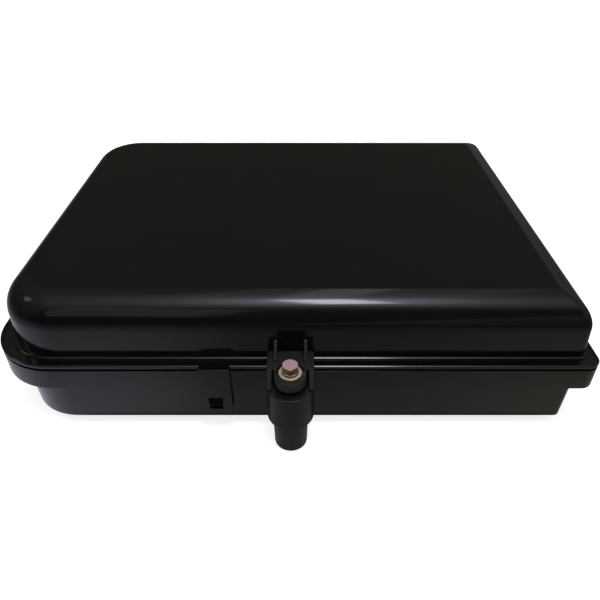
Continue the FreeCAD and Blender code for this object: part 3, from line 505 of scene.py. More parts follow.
def vectors(tree, operation, first, second):
    item = add(tree, "ShaderNodeVectorMath", {0: first, 1: second}, operation=operation)
    return item.outputs["Value" if operation in ("DOT_PRODUCT", "DISTANCE") else "Vector"]


def split(tree, vector):
    return add(tree, "ShaderNodeSeparateXYZ", {"Vector": vector}).outputs


def blend(tree, factor, first, second):
    return add(tree, "ShaderNodeMix", {0: factor, 6: first, 7: second}, data_type="RGBA").outputs[2]


def span(tree, value, low, high, least=0.0):
    """Runs from the least up to one while the value runs from low to high."""
    inputs = {"Value": value, "From Min": low, "From Max": high, "To Min": least}
    return add(tree, "ShaderNodeMapRange", inputs).outputs[0]


def on_object(tree):
    return add(tree, "ShaderNodeTexCoord").outputs["Object"]


def noise(tree, place, scale, detail, roughness=0.5):
    inputs = {"Vector": place, "Scale": scale, "Detail": detail, "Roughness": roughness}
    return add(tree, "ShaderNodeTexNoise", inputs).outputs["Fac"]


def ramp(tree, value, stops):
    """Greys or colours at given places, joined by straight lines."""
    item = add(tree, "ShaderNodeValToRGB", {"Fac": value})
    elements = item.color_ramp.elements
    elements.remove(elements[1])
    for k, (at, tone) in enumerate(stops):
        element = elements.new(at) if k else elements[0]
        element.position = at
        element.color = (*tone, 1) if isinstance(tone, tuple) else (tone, tone, tone, 1)
    return item.outputs["Color"]


def shared_group(build, results, inputs):
    """The node group that a function lays out, built at its first use."""
    name = build.__name__
    if name not in bpy.data.node_groups:
        tree = bpy.data.node_groups.new(name, "ShaderNodeTree")
        for label, value in inputs.items():
            label = label.replace("_", " ")
            kind = "NodeSocketColor" if isinstance(value, tuple) else "NodeSocketFloat"
            socket = tree.interface.new_socket(name=label, in_out="INPUT", socket_type=kind)
            socket.default_value = value
        for label in results:
            kind = "NodeSocketColor" if label == "Colour" else "NodeSocketFloat"
            tree.interface.new_socket(name=label, in_out="OUTPUT", socket_type=kind)
        entry = tree.nodes.new("NodeGroupInput").outputs
        leave = tree.nodes.new("NodeGroupOutput")
        feed(tree, leave, **build(tree, entry))
    return bpy.data.node_groups[name]


def effect(*results, **inputs):
    """Marks a function that lays out nodes, so that calling it gives its shared group."""

    def wrap(build):
        return lambda: shared_group(build, results, inputs)

    return wrap


@effect(
    "Height", "Roughness",
    Grain_Scale=2200.0, Grain_Depth=0.2, Ripple_Scale=18.0, Ripple_Depth=0.2, Roughness=0.3, Gloss_Spread=0.05,
)
def moulded_skin(tree, entry):
    """Grain, slow ripple and uneven gloss of an injection moulding."""
    place = on_object(tree)
    fine = maths(tree, "MULTIPLY", noise(tree, place, entry["Grain Scale"], 3.0), entry["Grain Depth"])
    slow = maths(tree, "MULTIPLY", noise(tree, place, entry["Ripple Scale"], 1.0), entry["Ripple Depth"])
    uneven = maths(tree, "SUBTRACT", noise(tree, place, 34.0, 4.0, 0.6), 0.5)
    spread = maths(tree, "MULTIPLY", uneven, entry["Gloss Spread"])
    return {
        "Height": maths(tree, "ADD", fine, slow),
        "Roughness": maths(tree, "ADD", spread, entry["Roughness"]),
    }


@effect("Mask", Radius=0.0007, Strength=3.0)
def rubbed_edges(tree, entry):
    """Mask of the edges that hands and tools rub."""
    flat = add(tree, "ShaderNodeNewGeometry").outputs["Normal"]
    soft = add(tree, "ShaderNodeBevel", {"Radius": entry["Radius"]}, samples=4).outputs["Normal"]
    turn = maths(tree, "SUBTRACT", 1.0, vectors(tree, "DOT_PRODUCT", flat, soft))
    mask = maths(tree, "MULTIPLY", turn, entry["Strength"])
    return {"Mask": add(tree, "ShaderNodeClamp", {"Value": mask}).outputs[0]}


@effect("Colour", Colour=(0, 0, 0, 1), Dust=(0.2, 0.2, 0.2, 1), Scale=40.0, Amount=0.01)
def settled_dust(tree, entry):
    """Thin uneven dust on faces that look up."""
    facing = add(tree, "ShaderNodeNewGeometry").outputs["Normal"]
    level = span(tree, split(tree, facing)["Z"], 0.2, 1.0, 0.15)
    patch = span(tree, noise(tree, on_object(tree), entry["Scale"], 6.0), 0.42, 0.75)
    mask = maths(tree, "MULTIPLY", maths(tree, "MULTIPLY", level, patch), entry["Amount"])
    return {"Colour": blend(tree, mask, entry["Colour"], entry["Dust"])}


@effect("Height", "Roughness", Scale=1500.0, Depth=0.3, Roughness=0.3)
def drawn_lines(tree, entry):
    """Fine lines left by drawing, turning or brushing metal along X."""
    stretched = add(tree, "ShaderNodeMapping", {"Vector": on_object(tree), "Scale": (0.04, 1.0, 1.0)})
    lines = noise(tree, stretched.outputs[0], entry["Scale"], 4.0)
    uneven = maths(tree, "MULTIPLY", maths(tree, "SUBTRACT", lines, 0.5), 0.25)
    return {
        "Height": maths(tree, "MULTIPLY", lines, entry["Depth"]),
        "Roughness": maths(tree, "ADD", uneven, entry["Roughness"]),
    }


@effect("Colour", First=(1, 1, 1, 1), Second=(0, 0, 0, 1), Scale=300.0)
def mottle(tree, entry):
    """Cloudy change between two tints."""
    cloud = span(tree, noise(tree, on_object(tree), entry["Scale"], 3.0), 0.35, 0.65)
    return {"Colour": blend(tree, cloud, entry["First"], entry["Second"])}


def use(tree, group, **inputs):
    return feed(tree, add(tree, "ShaderNodeGroup", node_tree=group), **inputs).outputs


def new_material(name, base, **plain):
    """Makes a material and gives its nodes and shader, with plain values set on the shader's own sockets."""
    material = bpy.data.materials.new(name)
    material.use_nodes = True
    material.diffuse_color = base
    tree = material.node_tree
    return tree, feed(tree, tree.nodes["Principled BSDF"], Base_Color=base, **plain)


def dress(tree, shader, surface, depth, **inputs):
    """Gives the shader a surface's roughness and height, unless the roughness is among the inputs."""
    bump = add(tree, "ShaderNodeBump", {"Height": surface["Height"], "Distance": depth})
    feed(tree, shader, **{"Roughness": surface["Roughness"], "Normal": bump.outputs[0], **inputs})


def plastic(name, base, edge, dust, roughness, grain=0.25, ripple=0.25, dust_amount=0.008, shine=0.5):
    """Moulded plastic: grain, ripple, rubbed edges and a trace of dust."""
    tree, shader = new_material(name, base, Specular_IOR_Level=shine)
    depths = {"Grain_Depth": grain, "Ripple_Depth": ripple}
    surface = use(tree, moulded_skin(), Roughness=roughness, Gloss_Spread=roughness * GLOSS_SHARE, **depths)
    rubbed = use(tree, rubbed_edges())["Mask"]
    worn = blend(tree, rubbed, base, edge)
    dusty = use(tree, settled_dust(), Colour=worn, Dust=dust, Amount=dust_amount)["Colour"]
    rough = maths(tree, "ADD", surface["Roughness"], maths(tree, "MULTIPLY", rubbed, RUBBED_ROUGHNESS))
    dress(tree, shader, surface, GRAIN_DEPTH, Base_Color=dusty, Roughness=rough)


def metal(name, first, second, roughness, scale=1500.0):
    """Drawn or plated metal with cloudy tints."""
    tree, shader = new_material(name, first, Metallic=1.0)
    tint = use(tree, mottle(), First=first, Second=second)["Colour"]
    lines = use(tree, drawn_lines(), Scale=scale, Roughness=roughness)
    dress(tree, shader, lines, LINE_DEPTH, Base_Color=tint)


def darker(value, factor):
    return (value[0] * factor, value[1] * factor, value[2] * factor, 1)


def zinc_with_painted_lit_tops(name, gold, olive, pale):
    """Yellow passivated zinc with painted light: pale where it looks up, as if lit from above, gold and olive
    on its sides.
    """
    tree, shader = new_material(name, gold, Metallic=0.55)
    sides = use(tree, mottle(), First=gold, Second=olive, Scale=420.0)["Colour"]
    painted_lit_tops = use(tree, mottle(), First=pale, Second=darker(pale, 0.85), Scale=260.0)["Colour"]
    facing = add(tree, "ShaderNodeTexCoord").outputs["Normal"]
    # Painted light: faces that look up get the pale tint, by which way they face
    level = span(tree, split(tree, facing)["Z"], 0.86, 0.97)
    lines = use(tree, drawn_lines(), Scale=2600.0, Depth=0.5, Roughness=0.36)
    dress(tree, shader, lines, LINE_DEPTH, Base_Color=blend(tree, level, sides, painted_lit_tops))


def make_finishes(c):
    """Makes each finish from the user's colours."""
    black, hasp, dust = c.housing, c.hasp, c.dust
    plastic("housing_gloss", black, c.housing_edge, dust, 0.12, grain=0.10, ripple=0.5)
    plastic("housing_satin", darker(black, 1.6), c.housing_edge, dust, 0.36, grain=0.5, ripple=0.4)
    # Painted shade: a darker, hardly reflecting copy of the housing for the catch, which sits inside the
    # tongue's window
    plastic("catch_painted_shade", darker(black, 0.6), black, dust, 0.6, grain=0.6, shine=0.1)
    plastic("hasp_matt", hasp, darker(hasp, 1.6), dust, 0.5, grain=0.6, shine=0.25)
    # Painted shade: the cheeks are the hasp's own moulding, given a darker copy of its colour
    plastic("cheek_painted_shade", darker(hasp, 0.4), darker(hasp, 0.7), dust, 0.5, grain=0.6, shine=0.25)
    zinc_with_painted_lit_tops("bolt_zinc_painted_lit_top", c.zinc_gold, c.zinc_olive, c.rose_painted_lit_top)
    zinc_with_painted_lit_tops("washer_zinc_painted_lit_top", c.zinc_gold, c.zinc_olive, c.beige_painted_lit_top)
    metal("bush_brass", c.brass, darker(c.brass, 0.75), 0.28)
    metal("plain_steel", c.steel, darker(c.steel, 0.8), 0.30)
    metal("sheet_metal", c.bracket, darker(c.bracket, 0.84), 0.34, scale=700.0)
    for name, value, worn, rough, grain, dust_amount in (
        ("seal_rubber", c.rubber, 2, 0.62, 0.9, 0.02),
        ("comb_rubber", c.comb, 1.4, 0.58, 0.9, 0.02),
        ("tray_moulding", c.tray, 1.25, 0.34, 0.3, 0.015),
        ("nut_moulding", c.nut, 1.25, 0.40, 0.3, 0.015),
        ("adapter_moulding", c.adapter, 1.25, 0.30, 0.3, 0.015),
        ("cap_moulding", c.cap, 1.25, 0.42, 0.3, 0.015),
        ("gland_moulding", c.gland, 1.25, 0.33, 0.3, 0.015),
    ):
        plastic(name, value, darker(value, worn), dust, rough, grain=grain, dust_amount=dust_amount)
    tree, shader = new_material("clear_cover", c.cover, Transmission_Weight=0.92, IOR=1.49)
    depths = {"Grain_Depth": 0.05, "Ripple_Depth": 0.4}
    dress(tree, shader, use(tree, moulded_skin(), Roughness=0.06, Gloss_Spread=0.04, **depths), GRAIN_DEPTH)


def finishes(context):
    """Every finish of the box, made at its first use."""
    if "housing_gloss" not in bpy.data.materials:
        make_finishes(context.scene.box_finishes)
    return bpy.data.materials


# Lid


def lid_shell(s):
    """The domed cover with its stepped flange and the tongue that presses on the seal."""
    half_x, half_y = s.length / 2, s.width / 2
    under = s.flange_bottom
    ledge = under + s.flange_plate
    lip_top = ledge + s.lip_rise
    step_top = ledge + s.step_rise
    spring = s.lid_top - s.dome_radius
    tongue_out, tongue_in, tongue_end = 0.00725, 0.00975, under - 0.004
    inner_edge, flange_in, tighten = 0.0005, 0.0110, 0.53
    step_slope, step_drop, lip_slope, lip_drop = [share * s.edge for share in (1.4, 0.83, 1.5, 0.88)]

    def wall_ring(inset, z, drawn_in):
        return outline(half_x - inset, half_y - inset, s.lid_corner_left - drawn_in, s.lid_corner_right, z)

    def dome(radius, wall):
        rings = []
        for k in range(DOME_STEPS + 1):
            angle = math.pi / 2 * k / DOME_STEPS
            drawn_in = s.lid_lean + wall + radius * (1 - math.cos(angle))
            rings.append(wall_ring(s.lid_inset + drawn_in, spring + radius * math.sin(angle), drawn_in))
        return rings

    def flange_ring(inset, z):
        right = s.corner_right - tighten * inset
        return outline(half_x - inset, half_y - inset, s.corner_left - inset, right, z)

    foot = rounded(
        (s.lid_inset + s.lid_lean, spring, 0), (s.lid_inset, step_top, 0.0002), (s.step_inset, step_top, 0)
    )
    flange = rounded(
        (s.lid_inset - 0.0002, step_top, 0), (s.step_inset + step_slope, step_top, 0.0004),
        (s.step_inset, step_top - step_drop, 0.0004), (s.step_inset, ledge, 0.00012),
        (s.lip_width, ledge, 0.00012), (s.lip_width, lip_top, 0.0003),
        (lip_slope, lip_top, 0.0004), (0, lip_top - lip_drop, 0.0004),
        (0, under, 0.0012), (tongue_out, under, 0.0003),
        (tongue_out, tongue_end, 0.0005), (tongue_in, tongue_end, 0.0005),
        (tongue_in, under, 0.0003), (flange_in, under, 0),
    )
    rings = list(reversed(dome(s.dome_radius, 0.0)))
    rings += [wall_ring(inset, z, inset - s.lid_inset) for inset, z in foot[1:-1]]
    rings += [flange_ring(inset, z) for inset, z in flange[1:-1]]
    rings.append(wall_ring(s.lid_inset + s.lid_wall - inner_edge, under, s.lid_wall - inner_edge))
    rings.append(wall_ring(s.lid_inset + s.lid_wall, under + inner_edge, s.lid_wall))
    rings += dome(s.dome_radius - s.lid_wall, s.lid_wall)
    return skin("lid_cover", rings)


def hasp_parts(s, k):
    """Plate, cheeks, ribs and boss of the hasp, whose tops differ a little so that none share a plane."""
    wall = -s.width / 2 + s.lid_inset + 0.0004
    plate_root, rib_root = wall + 0.001, wall + 0.0012
    reach, top, half_rib = k.tower_radius, k.hasp_top, k.rib_wall / 2
    boss_top, plate_top, cheek_top, neck_top = top - 0.00001, top - 0.00006, top - 0.0001, top - 0.00015
    plate_bottom, neck_bottom, rib_bottom = top - 0.0034, top - 0.0043, top - 0.001
    plate = [
        (plate_root, plate_bottom), (plate_root, plate_top),
        (k.hasp_front, plate_top), (k.hasp_front, plate_bottom),
    ]
    cheek = [
        (wall, k.cheek_bottom), (wall, cheek_top),
        (k.hasp_front + 0.0002, cheek_top), (k.cheek_front, k.cheek_bottom),
    ]
    rib = [
        (rib_root, rib_bottom), (rib_root, k.rib_top), (wall - 0.001, k.rib_top),
        (k.rib_front, top + 0.0006), (k.rib_front, rib_bottom),
    ]
    boss = rounded(
        (0, k.boss_bottom, 0), (k.boss_radius, k.boss_bottom, 0.0006),
        (k.boss_radius, boss_top, 0.0009), (0, boss_top, 0),
    )
    neck_low = (0.0004 - k.boss_radius, k.lock_y + 0.0004, neck_bottom)
    neck_high = (k.boss_radius - 0.0004, k.lock_y + 0.0115, neck_top)
    return [
        bar("hasp_plate", plate, 0.0002 - reach, reach - 0.0002, edge=0.0005),
        bar("hasp_cheek", cheek, -reach, CHEEK - reach, edge=0.0007, segments=3),
        bar("hasp_cheek", cheek, reach - CHEEK, reach, edge=0.0007, segments=3),
        *[
            bar("hasp_rib", rib, middle - half_rib, middle + half_rib, edge=0.0006, segments=3)
            for middle in (-k.rib_offset, k.rib_offset)
        ],
        turned("hasp_boss", boss, (0, k.lock_y, 0), steps=LOCK_STEPS),
        block("hasp_neck", neck_low, neck_high),
    ]


def snap_tongue(s, k):
    """The strap that hangs over the front of the base, with its window."""
    root = -s.width / 2 + 0.002
    back = k.snap_front + k.snap_wall
    top, under = s.flange_bottom + s.flange_plate - 0.00003, s.flange_bottom + 0.00003
    section = rounded(
        (root, top, 0), (k.snap_front, top, 0.0010), (k.snap_front, k.snap_bottom, 0.0004),
        (back, k.snap_bottom, 0.0004), (back, under, 0.0005), (root, under, 0),
        closed=True,
    )
    opening = rounded(
        (k.window_left, k.window_bottom, 0.0004), (k.window_right, k.window_bottom, 0.0004),
        (k.window_right, k.window_top, 0.0004), (k.window_left, k.window_top, 0.0004),
        steps=3, closed=True,
    )
    strap = bar("snap_strap", section, k.snap_left, k.snap_right, edge=0.0003)
    window = bar("snap_window", opening, k.snap_front - 0.001, back + 0.001, "Y")
    return combine(strap, [window], "DIFFERENCE")


def lid_knuckles(s, k):
    under, top, root = s.flange_bottom + 0.00004, k.hinge_z + k.knuckle - 0.0001, s.width / 2 - 0.003
    tip = k.hinge_y - k.knuckle + 0.0004
    arm = [(tip, under), (k.hinge_y, under), (k.hinge_y, top), (root, top), (root, under)]
    parts = []
    for middle in (-k.hinge_x, k.hinge_x):
        parts += knuckle("knuckle", k, middle - KNUCKLE_LENGTH / 2, KNUCKLE_LENGTH, arm, 0.0003)
    return parts


class FIBRE_BOX_OT_lid(Operator):
    """Domed lid with its flange, hasp, snap tongue and hinge knuckles"""

    bl_idname = "fibre_box.lid"
    bl_label = "Lid"

    def execute(self, context):
        s, k = context.scene.box_sizes, context.scene.box_lock
        piece = lid_shell(s)
        ledge = s.flange_bottom + s.flange_plate
        front = -s.width / 2
        gap_low = (k.snap_left, front - 0.001, ledge + 0.00002)
        gap_high = (k.snap_right, front + s.lip_width + 0.0002, ledge + 0.003)
        combine(piece, [block("lip_gap", gap_low, gap_high)], "DIFFERENCE")
        combine(piece, hasp_parts(s, k) + lid_knuckles(s, k) + [snap_tongue(s, k)], "UNION")
        reach = k.hinge_x + 0.05
        bores = [
            rod("hasp_hole", k.bolt_radius + 0.0003, 0.050, 0.075, (0, k.lock_y, 0)),
            rod("knuckle_bore", LID_BORE, -reach, reach, (0, k.hinge_y, k.hinge_z), "X", steps=HINGE_STEPS),
        ]
        clean(combine(piece, bores, "DIFFERENCE"))
        settle(context, piece, "lid", "lid", "housing", "housing_gloss", "hasp_matt", "cheek_painted_shade")
        above_step = ledge + s.step_rise + 0.0002
        before_wall = front + s.lid_inset - 0.0006
        side = k.tower_radius + 0.001

        def on_hasp(at):
            ahead = at.y < front - AHEAD or (at.y < before_wall and at.z > above_step)
            round_washer = math.hypot(at.x, at.y - k.lock_y) < k.boss_radius and at.z > k.hasp_top - 0.00004
            return ahead and abs(at.x) < side and not round_washer

        def on_cheek(at):
            return at.y < front - AHEAD and k.tower_radius - CHEEK - 0.0002 < abs(at.x) < side

        pick_faces(piece, 1, on_hasp)
        # The cheeks get the painted shade
        pick_faces(piece, 2, on_cheek)
        return {"FINISHED"}


# Base


def rim_ring(s):
    """Hanging skirt, rim plate with its bead, sealing groove and inner ledge as one endless section."""
    top, bead_top, groove_floor = s.rim_top, s.rim_top + s.rim_bead, s.rim_top - 0.004
    bead, groove_out, groove_in, ledge, under = 0.0018, 0.006, 0.011, 0.017, 0.0465
    section = rounded(
        (0, s.rim_bottom, 0.0005), (0, bead_top, 0.00025), (bead, bead_top, 0.0004), (bead, top, 0.0002),
        (groove_out, top, 0.0003), (groove_out, groove_floor, 0.0002),
        (groove_in, groove_floor, 0.0002), (groove_in, top, 0.0003), (ledge, top, 0.0004),
        (ledge, under, 0.0004), (s.skirt_wall, under, 0.0006), (s.skirt_wall, s.rim_bottom, 0.0005),
        steps=3, closed=True,
    )

    def ring(inset, z):
        right = max(s.corner_right - inset, 0.002)
        return outline(s.length / 2 - inset, s.width / 2 - inset, s.corner_left - inset, right, z)

    return skin("base_tray", [ring(inset, z) for inset, z in section], endless=True)


def tray_cup(s):
    """Leaning tray with a rounded lower edge and a flat floor."""
    top = s.rim_top - 0.0001
    floor = s.tray_bottom + s.tray_wall
    full = s.rim_top - s.tray_bottom

    def ring(inset, z):
        drawn_in = inset + s.tray_lean * (s.rim_top - z) / full
        return outline(
            s.length / 2 - s.tray_inset - drawn_in,
            s.width / 2 - s.tray_front - drawn_in,
            s.tray_corner_left - drawn_in,
            max(s.tray_corner_right - drawn_in, 0.003),
            z,
        )

    path = rounded(
        (0.006, s.tray_bottom, 0), (0, s.tray_bottom, 0.0015), (0, top, 0),
        (s.tray_wall, top, 0), (s.tray_wall, floor, 0.0010), (0.008, floor, 0),
    )
    return skin("tray_cup", [ring(inset, z) for inset, z in path])


def lock_tower(k):
    """Half-round shell on a tapered column, with a web to the tray."""
    back = k.lock_y + 0.0149
    column_top = k.tower_step + 0.002
    web_half, web_low, web_high, steps = 0.005, 0.010, 0.0298, 40
    turn = [math.pi * (1 + i / steps) for i in range(steps + 1)]
    section = [(k.tower_radius * math.cos(t), k.lock_y + k.tower_radius * math.sin(t)) for t in turn]
    section += [(k.tower_radius, back), (-k.tower_radius, back)]
    column = rounded(
        (0, k.column_bottom, 0), (k.column_radius, k.column_bottom, 0.0016),
        (k.column_radius + k.column_draft, column_top, 0), (0, column_top, 0),
    )
    return [
        bar("tower_shell", section, k.tower_step, k.tower_top, "Z", edge=0.0008, segments=3),
        turned("tower_column", column, (0, k.lock_y, 0), steps=80),
        block("tower_web", (-web_half, k.lock_y, web_low), (web_half, back + 0.002, web_high), edge=0.0004),
    ]


def hinge_lugs(s, k):
    root, top = s.width / 2 - 0.001, s.rim_top - 0.0002
    web = [
        (root, s.rim_bottom + 0.002), (k.hinge_y + 0.003, k.hinge_z - 0.00516), (k.hinge_y, top), (root, top)
    ]
    parts = []
    for middle in (-k.hinge_x, k.hinge_x):
        for begin in LUG_BEGINS:
            parts += knuckle("lug", k, middle + begin, LUG_LENGTH, web, 0.0002)
    return parts


def base_cutters(k):
    """Bores of the lock, hinge, wall fixing and ports."""
    axis, hinge = (0, k.lock_y, 0), (0, k.hinge_y, k.hinge_z)
    core, core_top, reach = k.column_radius - 0.003, k.tower_step - 0.002, 0.171
    cutters = [rod(*bore, axis) for bore in LOCK_BORES]
    cutters.append(rod("column_core", core, -0.001, core_top, axis, edge=0.0005))
    cutters.append(rod("pin_bore", BASE_BORE, -reach, reach, hinge, "X", steps=HINGE_STEPS))
    cutters += rods(HOLES)
    for name, radius, steps, places in PORTS:
        cutters += [rod(name, radius, *PORT_DEPTH, (0, y, PORT_HEIGHT), "X", steps=steps) for y in places]
    return cutters


class FIBRE_BOX_OT_base(Operator):
    """Base moulding with its rim, tray, lock tower, catch, hinge lugs, feet and ports"""

    bl_idname = "fibre_box.base"
    bl_label = "Base"

    def execute(self, context):
        s, k = context.scene.box_sizes, context.scene.box_lock
        front = -s.width / 2
        root, nose = front + 0.0024, front - 0.0026
        catch_low, catch_high = k.window_bottom + 0.0014, k.window_top - 0.0010
        catch = [
            (root, catch_low), (nose, catch_low), (nose, k.window_bottom + 0.0030),
            (front + 0.0006, catch_high), (root, catch_high),
        ]
        parts = [tray_cup(s)] + lock_tower(k) + hinge_lugs(s, k) + rods(BOSSES)
        parts.append(bar("snap_catch", catch, k.window_left + 0.0008, k.window_right - 0.0008, edge=0.0003))
        parts.append(block("port_plate", *PORT_PLATE, edge=0.0004))
        piece = combine(rim_ring(s), parts, "UNION")
        clean(combine(piece, base_cutters(k), "DIFFERENCE"))
        finish_names = ("housing_gloss", "housing_satin", "catch_painted_shade")
        settle(context, piece, "base", "base_housing", "housing", *finish_names)
        pick_faces(piece, 1, lambda at: at.y < front - AHEAD and abs(at.x) < k.tower_radius + 0.001)
        # The catch inside the window gets the painted shade
        pick_faces(piece, 2, lambda at: at.y < front - AHEAD and k.window_left < at.x < k.window_right)
        return {"FINISHED"}


# Lock hardware, which shows no image of itself in the lid's wall


def bolt_thread(k, bottom, top):
    """A round shank whose surface follows a helical groove, run out under the head."""
    around, along, flank = 36, 8, 0.42
    depth, lead_length, lead_depth, runout, plain = 0.00052, 0.0008, 0.0005, 0.001, 0.003
    rows = round((top - bottom) / k.bolt_pitch * along)
    rings = []
    for row in range(rows + 1):
        z = bottom + (top - bottom) * row / rows
        lead = min(1.0, (z - bottom) / lead_length)
        fade = min(1.0, max(0.0, (top - plain - z) / runout))
        ring = []
        for i in range(around):
            turn = 2 * math.pi * i / around
            phase = (z / k.bolt_pitch - i / around) % 1.0
            groove = max(0.0, 1.0 - abs(phase - 0.5) / flank)
            radius = k.bolt_radius - depth * groove * fade - lead_depth * (1 - lead)
            ring.append((radius * math.cos(turn), k.lock_y + radius * math.sin(turn), z))
        rings.append(ring)
    return skin("bolt_thread", rings)


def spring_washer(k, low, high):
    """A square wire bent nearly full circle, with slanting ends."""
    inner, outer, edge = k.bolt_radius + 0.0001, 0.0058, 0.0003
    section = rounded(
        (inner, low, edge), (outer, low, edge), (outer, high, edge), (inner, high, edge), steps=3, closed=True
    )
    begin, sweep, lean = math.radians(6), math.radians(348), math.radians(9)
    steps = 90
    rings = []
    for i in range(steps + 1):
        ring = []
        for radius, z in section:
            slant = lean * ((z - low) / (high - low) - 0.5) * (2 * i / steps - 1) ** 8
            turn = begin + sweep * i / steps + slant
            ring.append((radius * math.cos(turn), k.lock_y + radius * math.sin(turn), z))
        rings.append(ring)
    return skin("spring_washer_bent", rings)


class FIBRE_BOX_OT_lock_bolt(Operator):
    """Hexagon bolt with a chamfered head and a cut thread"""

    bl_idname = "fibre_box.lock_bolt"
    bl_label = "Lock bolt"

    def execute(self, context):
        k = context.scene.box_lock
        low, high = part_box("lock_bolt")
        seat, top = k.hasp_top + 2 * WASHER, high.z
        half = k.bolt_flats / 2
        across = half / math.cos(math.radians(30))
        beyond = across + 0.0003
        axis = (0, k.lock_y, 0)
        corners = [math.radians(30 + 60 * i) for i in range(6)]
        hexagon = [(across * math.cos(t), k.lock_y + across * math.sin(t)) for t in corners]
        head = bar("lock_bolt_turned", hexagon, seat, top, "Z")
        turning = rounded(
            (0, seat, 0), (half - 0.0002, seat, 0), (beyond, seat + 0.0004, 0),
            (beyond, top - 0.0006, 0), (half + 0.0001, top, 0.0003), (0, top, 0),
        )
        combine(head, [turned("head_turning", turning, axis, steps=LOCK_STEPS)], "INTERSECT")
        clean(combine(head, [bolt_thread(k, low.z, seat + 0.0005)], "UNION"))
        settle(context, head, "lock_bolt", "lock_bolt", "yellow_zinc", "bolt_zinc_painted_lit_top").visible_glossy = False
        return {"FINISHED"}


class FIBRE_BOX_OT_lock_washers(Operator):
    """Flat washer and split spring washer under the bolt's head"""

    bl_idname = "fibre_box.lock_washers"
    bl_label = "Lock washers"

    def execute(self, context):
        k = context.scene.box_lock
        inner, outer = k.bolt_radius + 0.0002, 0.008
        axis = (0, k.lock_y, 0)
        low = k.hasp_top
        middle, high = low + WASHER, low + 2 * WASHER
        flat = rounded(
            (inner, low, 0.00015), (outer, low, 0.0003), (outer, middle, 0.0005), (inner, middle, 0.00015),
            closed=True,
        )
        pieces = {
            "lock_flat_washer": turned("flat_washer_turned", flat, axis, steps=LOCK_STEPS, endless=True),
            "lock_spring_washer": spring_washer(k, middle, high),
        }
        for node, piece in pieces.items():
            clean(piece)
            settle(context, piece, "lock_washers", node, "yellow_zinc", "washer_zinc_painted_lit_top").visible_glossy = False
        return {"FINISHED"}


# Finishes of the parts whose solids are shown as they are


class FIBRE_BOX_OT_seal_and_hinge(Operator):
    """Finishes of the seal, the hinge pins and the threaded bush"""

    bl_idname = "fibre_box.seal_and_hinge"
    bl_label = "Seal and hinge"

    def execute(self, context):
        return paint_solids(
            context, seal_rubber="lid_gasket", plain_steel="hinge_pin", bush_brass="lock_insert"
        )


class FIBRE_BOX_OT_cassettes(Operator):
    """Finishes of the splice trays, their combs, cover, studs and nuts"""

    bl_idname = "fibre_box.cassettes"
    bl_label = "Splice trays"

    def execute(self, context):
        return paint_solids(
            context,
            tray_moulding=("splice_tray_lower", "splice_tray_upper"),
            comb_rubber="splice_comb",
            clear_cover="splice_tray_cover",
            plain_steel="tray_stud",
            nut_moulding="tray_nut",
        )


class FIBRE_BOX_OT_adapters(Operator):
    """Finishes of the bracket, its screws, the adapters and their caps"""

    bl_idname = "fibre_box.adapters"
    bl_label = "Adapters"

    def execute(self, context):
        return paint_solids(
            context,
            sheet_metal="adapter_bracket",
            plain_steel="adapter_bracket_screws",
            adapter_moulding="fibre_adapter",
            cap_moulding="adapter_dust_caps",
        )


class FIBRE_BOX_OT_ports(Operator):
    """Finishes of the cable glands, the port plugs and the feeder clamps"""

    bl_idname = "fibre_box.ports"
    bl_label = "Cable ports"

    def execute(self, context):
        return paint_solids(
            context,
            gland_moulding="cable_gland",
            seal_rubber=("cable_gland_seal", "drop_port_plug"),
            nut_moulding=("cable_clamp_front", "cable_clamp_rear"),
            plain_steel="cable_clamp_screws",
        )


# Stage


def area_light(name, offset, width, depth, power, tint):
    """A rectangle of light that looks at the box from its place beside the aim."""
    data = bpy.data.lights.new(name, "AREA")
    data.shape = "RECTANGLE"
    data.size, data.size_y = width, depth
    data.energy = power
    data.color = tint
    light = bpy.data.objects.new(name, data)
    light.location = Vector(AIM) + Vector(offset)
    light.rotation_euler = (-Vector(offset)).to_track_quat("-Z", "Y").to_euler()
    bpy.context.scene.collection.objects.link(light)


def sheet_of_floor(name, half, z, material):
    bm = bmesh.new()
    bmesh.ops.create_grid(bm, x_segments=4, y_segments=4, size=half, matrix=Matrix.Translation((0, 0, z)))
    sheet = finish_bmesh(name, bm)
    sheet.data.materials.append(bpy.data.materials[material])
    return sheet


def studio_world(scene, v):
    """Dim room whose ceiling glows round the lamp, with a pale backdrop for the camera."""
    world = bpy.data.worlds.new("studio")
    world.use_nodes = True
    scene.world = world
    tree = world.node_tree
    ray = add(tree, "ShaderNodeTexCoord").outputs["Generated"]
    along = vectors(tree, "DOT_PRODUCT", ray, v.lamp.normalized())
    glow = ramp(tree, maths(tree, "DIVIDE", maths(tree, "ARCCOSINE", along), math.pi / 2), GLOW)
    aside, forward, upward = split(tree, ray)
    depth = ramp(tree, maths(tree, "DIVIDE", maths(tree, "ADD", forward, 1.0), 2.0), ROOM_DEPTH)
    wall = ramp(tree, maths(tree, "SUBTRACT", aside, upward), RIGHT_WALL)
    room = vectors(tree, "ADD", vectors(tree, "MULTIPLY", glow, depth), wall)
    backdrop = 1.0 / v.glow
    camera = add(tree, "ShaderNodeLightPath").outputs["Is Camera Ray"]
    seen = blend(tree, camera, room, (backdrop, backdrop, backdrop, 1))
    feed(tree, tree.nodes["Background"], Color=seen, Strength=v.glow)


def paper_floor(v):
    """The floor that the camera sees; mirrors see the painted floor reflection instead."""
    glowing = {"Emission_Color": (1, 1, 1, 1), "Emission_Strength": 0.8}
    new_material("floor_paper", v.floor, Roughness=0.9, Specular_IOR_Level=0.1, **glowing)
    sheet_of_floor("floor", 4, -0.0003, "floor_paper").visible_glossy = False


